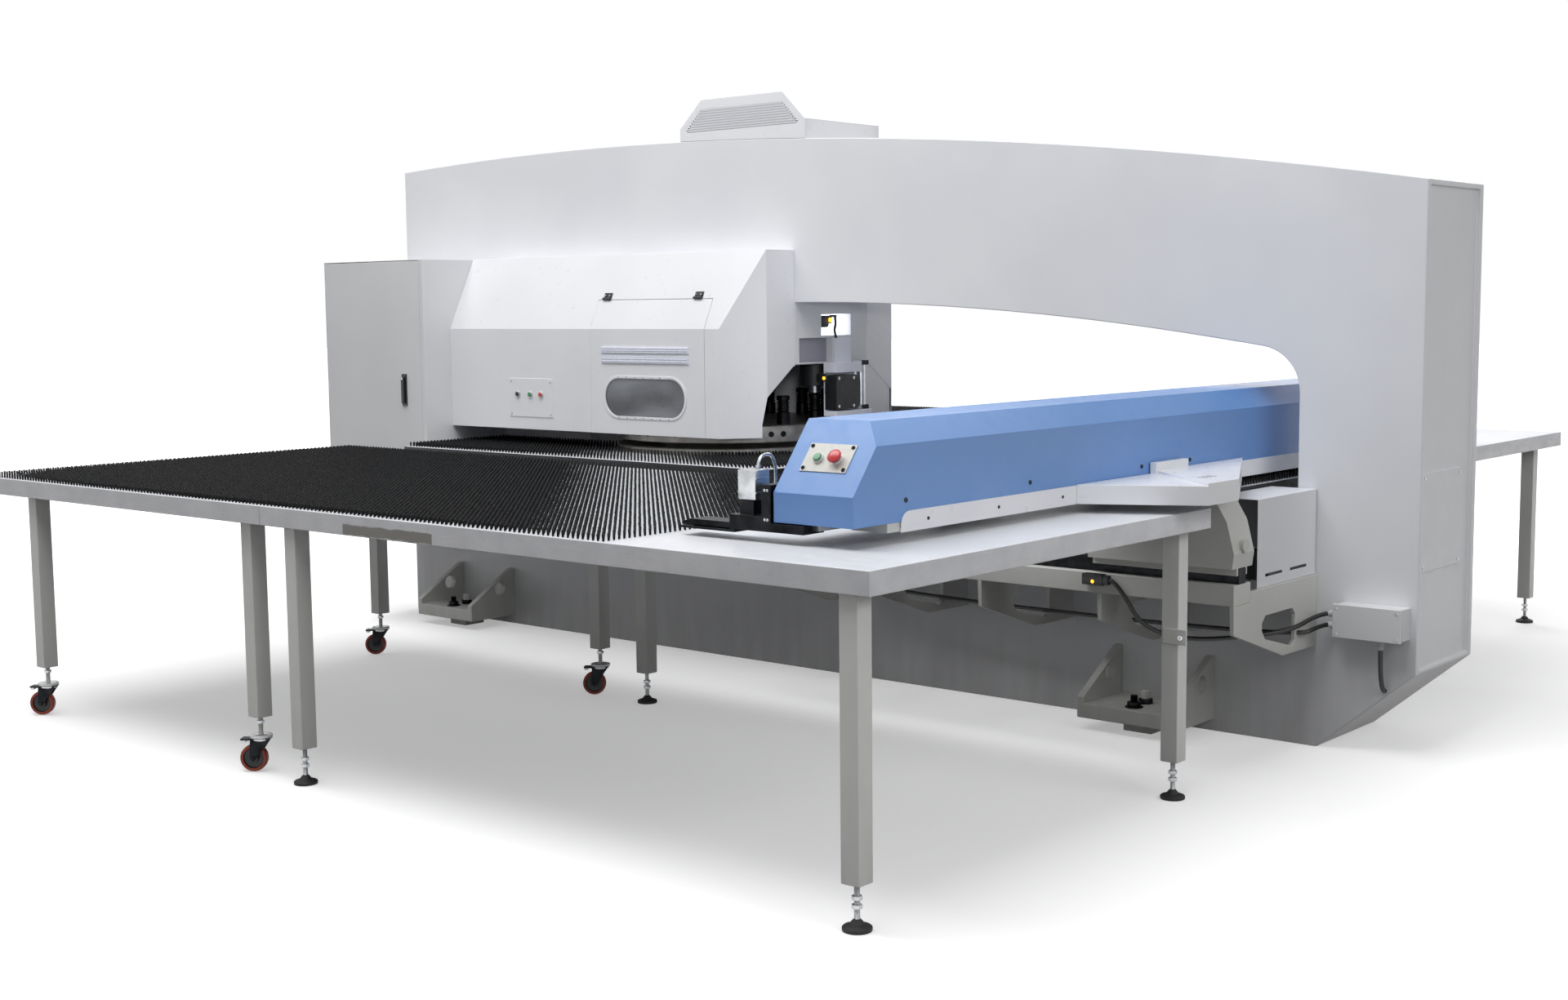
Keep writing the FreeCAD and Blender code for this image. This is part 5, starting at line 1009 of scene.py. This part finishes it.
# ------------------------------------------------------------------ junction box and cables
def build_cables():
    """Junction box with its lid and glands, the sensor and three cables."""
    dressed("junction_box", "machine", "cabinet", 0.003)
    screws("box_lid_screws", "machine", "bare_plate", "bolt",
           product((2.497, 2.713), (-0.348,), (0.437, 0.526)), FRONT, 0.005, 0.002)
    with piece("cable_glands", "machine", "bare_plate", "white_plastic") as bm:
        for place, axis in (((2.464, -0.300, 0.458), LEFT), ((2.464, -0.300, 0.498), LEFT),
                            ((2.640, -0.300, 0.404), DOWN)):
            lathe(bm, [(0, 0), (0.011, 0), (0.0125, 0.003), (0.0125, 0.010), (0.009, 0.018),
                       (0, 0.018)], place, axis, 24)
    blocks("position_sensor", "machine", "black_plastic", "black_plastic", [
        ((1.818, -0.927, 0.620), (1.900, -0.894, 0.660), 0.004),
        ((1.896, -0.924, 0.624), (1.921, -0.898, 0.656), 0.003),
        ((1.830, -0.928, 0.652), (1.870, -0.902, 0.661), 0.002)], ("cables",))
    with piece("sensor_indicator", "machine", "red_plastic", "amber") as bm:
        disc(bm, (1.862, -0.926, 0.634), FRONT, 0.006, 0.002)
    routes = {
        "sensor_cable": [
            (2.463, -0.300, 0.498), (2.420, -0.300, 0.498), (2.375, -0.500, 0.440),
            (2.080, -0.905, 0.440), (1.950, -0.912, 0.640), (1.922, -0.912, 0.640)],
        "frame_cable": [
            (2.463, -0.300, 0.458), (2.430, -0.300, 0.458), (2.400, -0.470, 0.425),
            (0.420, -0.470, 0.425), (0.420, -0.255, 0.425)],
        "supply_cable": [
            (2.640, -0.300, 0.403), (2.640, -0.300, 0.236), (2.640, -0.255, 0.236)]}
    for name, route in routes.items():
        tube(name, route, CABLE_RADIUS, "machine", "jacket")


# ------------------------------------------------------------------ stage
def shown(tree):
    """One for the rays that show the background: to the lens, off gloss and through glass."""
    rays = add(tree, "LightPath").outputs
    mirrored = add(tree, "Math", {0: rays["Is Camera Ray"], 1: rays["Is Glossy Ray"]},
                   operation="MAXIMUM")
    return add(tree, "Math", {0: mirrored, 1: rays["Is Transmission Ray"]},
               operation="MAXIMUM")


def studio_floor(lift):
    """Matt studio floor: grey to the light that strikes it, pale to the lens, whiter far out."""
    material, tree, place, shader = blank("pale_studio_floor")
    seen = shown(tree)
    reach = add(tree, "VectorMath", {0: place}, operation="LENGTH")
    rise = blend(tree, reach, lift, 1.0, (FLOOR_NEAR, FLOOR_FAR))
    wire(tree, shader, {
        "Base Color": blend(tree, seen, "4a4a4a", "f4f4f4", FULL), "Roughness": 0.9,
        "Emission Color": (1, 1, 1, 1),
        "Emission Strength": add(tree, "Math", {0: seen, 1: rise}, operation="MULTIPLY")})
    return material


def place_lamp(name, kind, place, target, power, **settings):
    """Studio lamp aimed at a point."""
    lamp = bpy.data.lights.new(name, kind)
    lamp.energy = power
    for key, setting in settings.items():
        setattr(lamp, key, setting)
    item = linked(name, lamp)
    item.location = place
    item.rotation_euler = (Vector(target) - Vector(place)).to_track_quat("-Z", "Y").to_euler()


def place_camera():
    """Camera at the photograph's place, with its lens and its turn."""
    lens = bpy.data.cameras.new("photo_camera")
    lens.lens = LENS_MM
    lens.sensor_width = SENSOR_MM
    lens.sensor_fit = "HORIZONTAL"
    lens.clip_end = 200.0
    camera = linked("photo_camera", lens)
    camera.location = CAMERA_PLACE
    camera.rotation_euler = [math.radians(angle) for angle in CAMERA_DEGREES]
    bpy.context.scene.camera = camera


def build_stage(settings):
    """Floor, backdrop light, studio lamps and the camera."""
    bm = bmesh.new()
    bmesh.ops.create_grid(bm, x_segments=8, y_segments=8, size=60.0)
    floor = linked("studio_floor", baked(bm, "studio_floor"))
    floor.data.materials.append(studio_floor(settings.floor_lift))
    floor.location.z = -0.001
    world = bpy.data.worlds.new("studio_world")
    bpy.context.scene.world = world
    world.use_nodes = True
    tree = world.node_tree
    tree.nodes.clear()
    level = blend(tree, shown(tree), settings.world_light, 1.0, FULL)
    sky = add(tree, "Background", {"Color": (1, 1, 1, 1), "Strength": level})
    add(tree, "OutputWorld", {"Surface": sky})
    for name, place, target, power, width, depth in (
            ("ceiling_lamp", (-0.5, -3.4, 7.2), (0.0, -1.0, 0.5), settings.key_power, 9.0, 4.0),
            ("side_lamp", (8.5, -2.0, 4.5), (0.5, 0.0, 1.0), settings.fill_power, 5.0, 3.0),
            ("rear_lamp", (-2.0, 7.5, 6.0), (0.0, 0.0, 1.0), settings.rear_power, 7.0, 4.0)):
        place_lamp(name, "AREA", place, target, power, shape="RECTANGLE", size=width,
                   size_y=depth)
    place_lamp("throat_lamp", "SPOT", (5.4, -6.3, 2.1), (-0.05, 0.05, 1.33), settings.spot_power,
               spot_size=math.radians(9.5), spot_blend=1.0, shadow_soft_size=0.25)
    place_camera()
    bpy.context.scene.view_settings.view_transform = "Standard"


# ------------------------------------------------------------------ add-on classes
def colour_setting(name, description, code):
    """Colour setting whose default is a hex code."""
    return bpy.props.FloatVectorProperty(
        name=name, description=description, default=linear(code), size=4, min=0.0, max=1.0,
        subtype="COLOR")


def power_setting(name, description, watts):
    """Power setting of a lamp."""
    return bpy.props.FloatProperty(
        name=name, description=description, default=watts, min=0.0, subtype="POWER")


class PRESS_PG_settings(bpy.types.PropertyGroup):
    """Edge, colours and light levels of the press scene."""

    frame_edge: bpy.props.FloatProperty(
        name="Frame Edge", description="Rounding of the frame's cut edges", default=0.004,
        min=0.0, max=0.02, unit="LENGTH")
    white_shade: colour_setting("Frame Shade", "Darker tone of the frame's white coat", "e2e3e7")
    white_tint: colour_setting("Frame Tint", "Lighter tone of the frame's white coat", "e8e9ec")
    blue_shade: colour_setting("Beam Shade", "Darker tone of the beam cover's enamel", "6590cd")
    blue_tint: colour_setting("Beam Tint", "Lighter tone of the beam cover's enamel", "6b96d2")
    floor_lift: bpy.props.FloatProperty(
        name="Floor Lift", description="How far the floor is lifted to white for the lens",
        default=0.35, min=0.0, max=1.0)
    world_light: bpy.props.FloatProperty(
        name="Room Light", description="Strength of the even room light", default=0.27, min=0.0)
    key_power: power_setting("Ceiling Lamp", "Power of the lamp overhead", 500.0)
    fill_power: power_setting("Side Lamp", "Power of the lamp on the right", 130.0)
    rear_power: power_setting("Rear Lamp", "Power of the lamp behind", 340.0)
    spot_power: power_setting(
        "Throat Lamp", "Power of the narrow lamp on the turret's open side", 330.0)


def run(operator, builder, *values):
    """Run one builder for an operator; one that makes nothing stops the script."""
    if not FINISH:
        make_finishes(bpy.context.scene.press_settings)
    before = len(bpy.context.scene.objects)
    builder(*values)
    if len(bpy.context.scene.objects) == before:
        raise RuntimeError(operator.bl_label + " made nothing")
    return {"FINISHED"}


class PRESS_OT_frame(bpy.types.Operator):
    """Build the closed frame, its service panel and anchor feet"""
    bl_idname = "press.frame"
    bl_label = "Frame"

    def execute(self, context):
        return run(self, build_frame, context.scene.press_settings.frame_edge)


class PRESS_OT_jamb_lamp(bpy.types.Operator):
    """Build the lit panel and the sensor in the jamb"""
    bl_idname = "press.jamb_lamp"
    bl_label = "Jamb Lamp"

    def execute(self, context):
        return run(self, build_jamb_lamp)


class PRESS_OT_hood(bpy.types.Operator):
    """Build the hood on the crown"""
    bl_idname = "press.hood"
    bl_label = "Top Hood"

    def execute(self, context):
        return run(self, build_hood)


class PRESS_OT_cabinet(bpy.types.Operator):
    """Build the electrical cabinet and its door"""
    bl_idname = "press.cabinet"
    bl_label = "Cabinet"

    def execute(self, context):
        return run(self, build_cabinet)


class PRESS_OT_covers(bpy.types.Operator):
    """Build the turret covers with door and window"""
    bl_idname = "press.covers"
    bl_label = "Turret Covers"

    def execute(self, context):
        return run(self, build_turret_covers)


class PRESS_OT_controls(bpy.types.Operator):
    """Build the control plate and its push-buttons"""
    bl_idname = "press.controls"
    bl_label = "Controls"

    def execute(self, context):
        return run(self, build_controls)


class PRESS_OT_end_plate(bpy.types.Operator):
    """Build the start and stop buttons on the beam end"""
    bl_idname = "press.end_plate"
    bl_label = "Beam End Buttons"

    def execute(self, context):
        return run(self, build_end_plate)


class PRESS_OT_turrets(bpy.types.Operator):
    """Build the two turret discs"""
    bl_idname = "press.turrets"
    bl_label = "Turrets"

    def execute(self, context):
        return run(self, build_turrets)


class PRESS_OT_tools(bpy.types.Operator):
    """Build the punch holders and the ram"""
    bl_idname = "press.tools"
    bl_label = "Tools"

    def execute(self, context):
        return run(self, build_tools)


class PRESS_OT_ram(bpy.types.Operator):
    """Build the valve block beside the ram"""
    bl_idname = "press.ram"
    bl_label = "Ram Valve"

    def execute(self, context):
        return run(self, build_ram)


class PRESS_OT_tables(bpy.types.Operator):
    """Build the tables"""
    bl_idname = "press.tables"
    bl_label = "Tables"

    def execute(self, context):
        return run(self, build_tables)


class PRESS_OT_feet(bpy.types.Operator):
    """Build the levelling feet"""
    bl_idname = "press.feet"
    bl_label = "Levelling Feet"

    def execute(self, context):
        return run(self, build_levelling_feet)


class PRESS_OT_casters(bpy.types.Operator):
    """Build the casters"""
    bl_idname = "press.casters"
    bl_label = "Casters"

    def execute(self, context):
        return run(self, build_casters)


class PRESS_OT_brushes(bpy.types.Operator):
    """Plant the brush tufts"""
    bl_idname = "press.brushes"
    bl_label = "Brushes"

    def execute(self, context):
        return run(self, build_brushes)


class PRESS_OT_y_axis(bpy.types.Operator):
    """Build the rails, carriages and screw drive"""
    bl_idname = "press.y_axis"
    bl_label = "Y Axis"

    def execute(self, context):
        return run(self, build_y_axis)


class PRESS_OT_beam(bpy.types.Operator):
    """Build the beam and its covers"""
    bl_idname = "press.beam"
    bl_label = "X Beam"

    def execute(self, context):
        return run(self, build_beam)


class PRESS_OT_clamps(bpy.types.Operator):
    """Build the sheet clamps"""
    bl_idname = "press.clamps"
    bl_label = "Clamps"

    def execute(self, context):
        return run(self, build_clamps)


class PRESS_OT_cables(bpy.types.Operator):
    """Build the junction box, sensor and cables"""
    bl_idname = "press.cables"
    bl_label = "Cables"

    def execute(self, context):
        return run(self, build_cables)


class PRESS_OT_stage(bpy.types.Operator):
    """Set the floor, lamps and camera"""
    bl_idname = "press.stage"
    bl_label = "Stage"

    def execute(self, context):
        return run(self, build_stage, context.scene.press_settings)


OPERATORS = (
    PRESS_OT_frame, PRESS_OT_jamb_lamp, PRESS_OT_hood, PRESS_OT_cabinet, PRESS_OT_covers,
    PRESS_OT_controls, PRESS_OT_end_plate, PRESS_OT_turrets, PRESS_OT_tools, PRESS_OT_ram,
    PRESS_OT_tables, PRESS_OT_feet, PRESS_OT_casters, PRESS_OT_brushes, PRESS_OT_y_axis,
    PRESS_OT_beam, PRESS_OT_clamps, PRESS_OT_cables, PRESS_OT_stage)


class PRESS_PT_panel(bpy.types.Panel):
    """Lists the press's pieces and settings"""
    bl_idname = "PRESS_PT_panel"
    bl_label = "Turret Punch Press"
    bl_space_type = "VIEW_3D"
    bl_region_type = "UI"
    bl_category = "Press"

    def draw(self, context):
        for name in PRESS_PG_settings.__annotations__:
            self.layout.prop(context.scene.press_settings, name)
        for operator in OPERATORS:
            self.layout.operator(operator.bl_idname)


CLASSES = (PRESS_PG_settings, *OPERATORS, PRESS_PT_panel)


def register():
    for item in CLASSES:
        bpy.utils.register_class(item)
    bpy.types.Scene.press_settings = bpy.props.PointerProperty(type=PRESS_PG_settings)


def unregister():
    del bpy.types.Scene.press_settings
    for item in reversed(CLASSES):
        bpy.utils.unregister_class(item)


def main():
    """Register the add-on and build every piece in order."""
    register()
    for operator in OPERATORS:
        getattr(bpy.ops.press, operator.bl_idname.split(".")[1])()


if __name__ == "__main__":
    main()
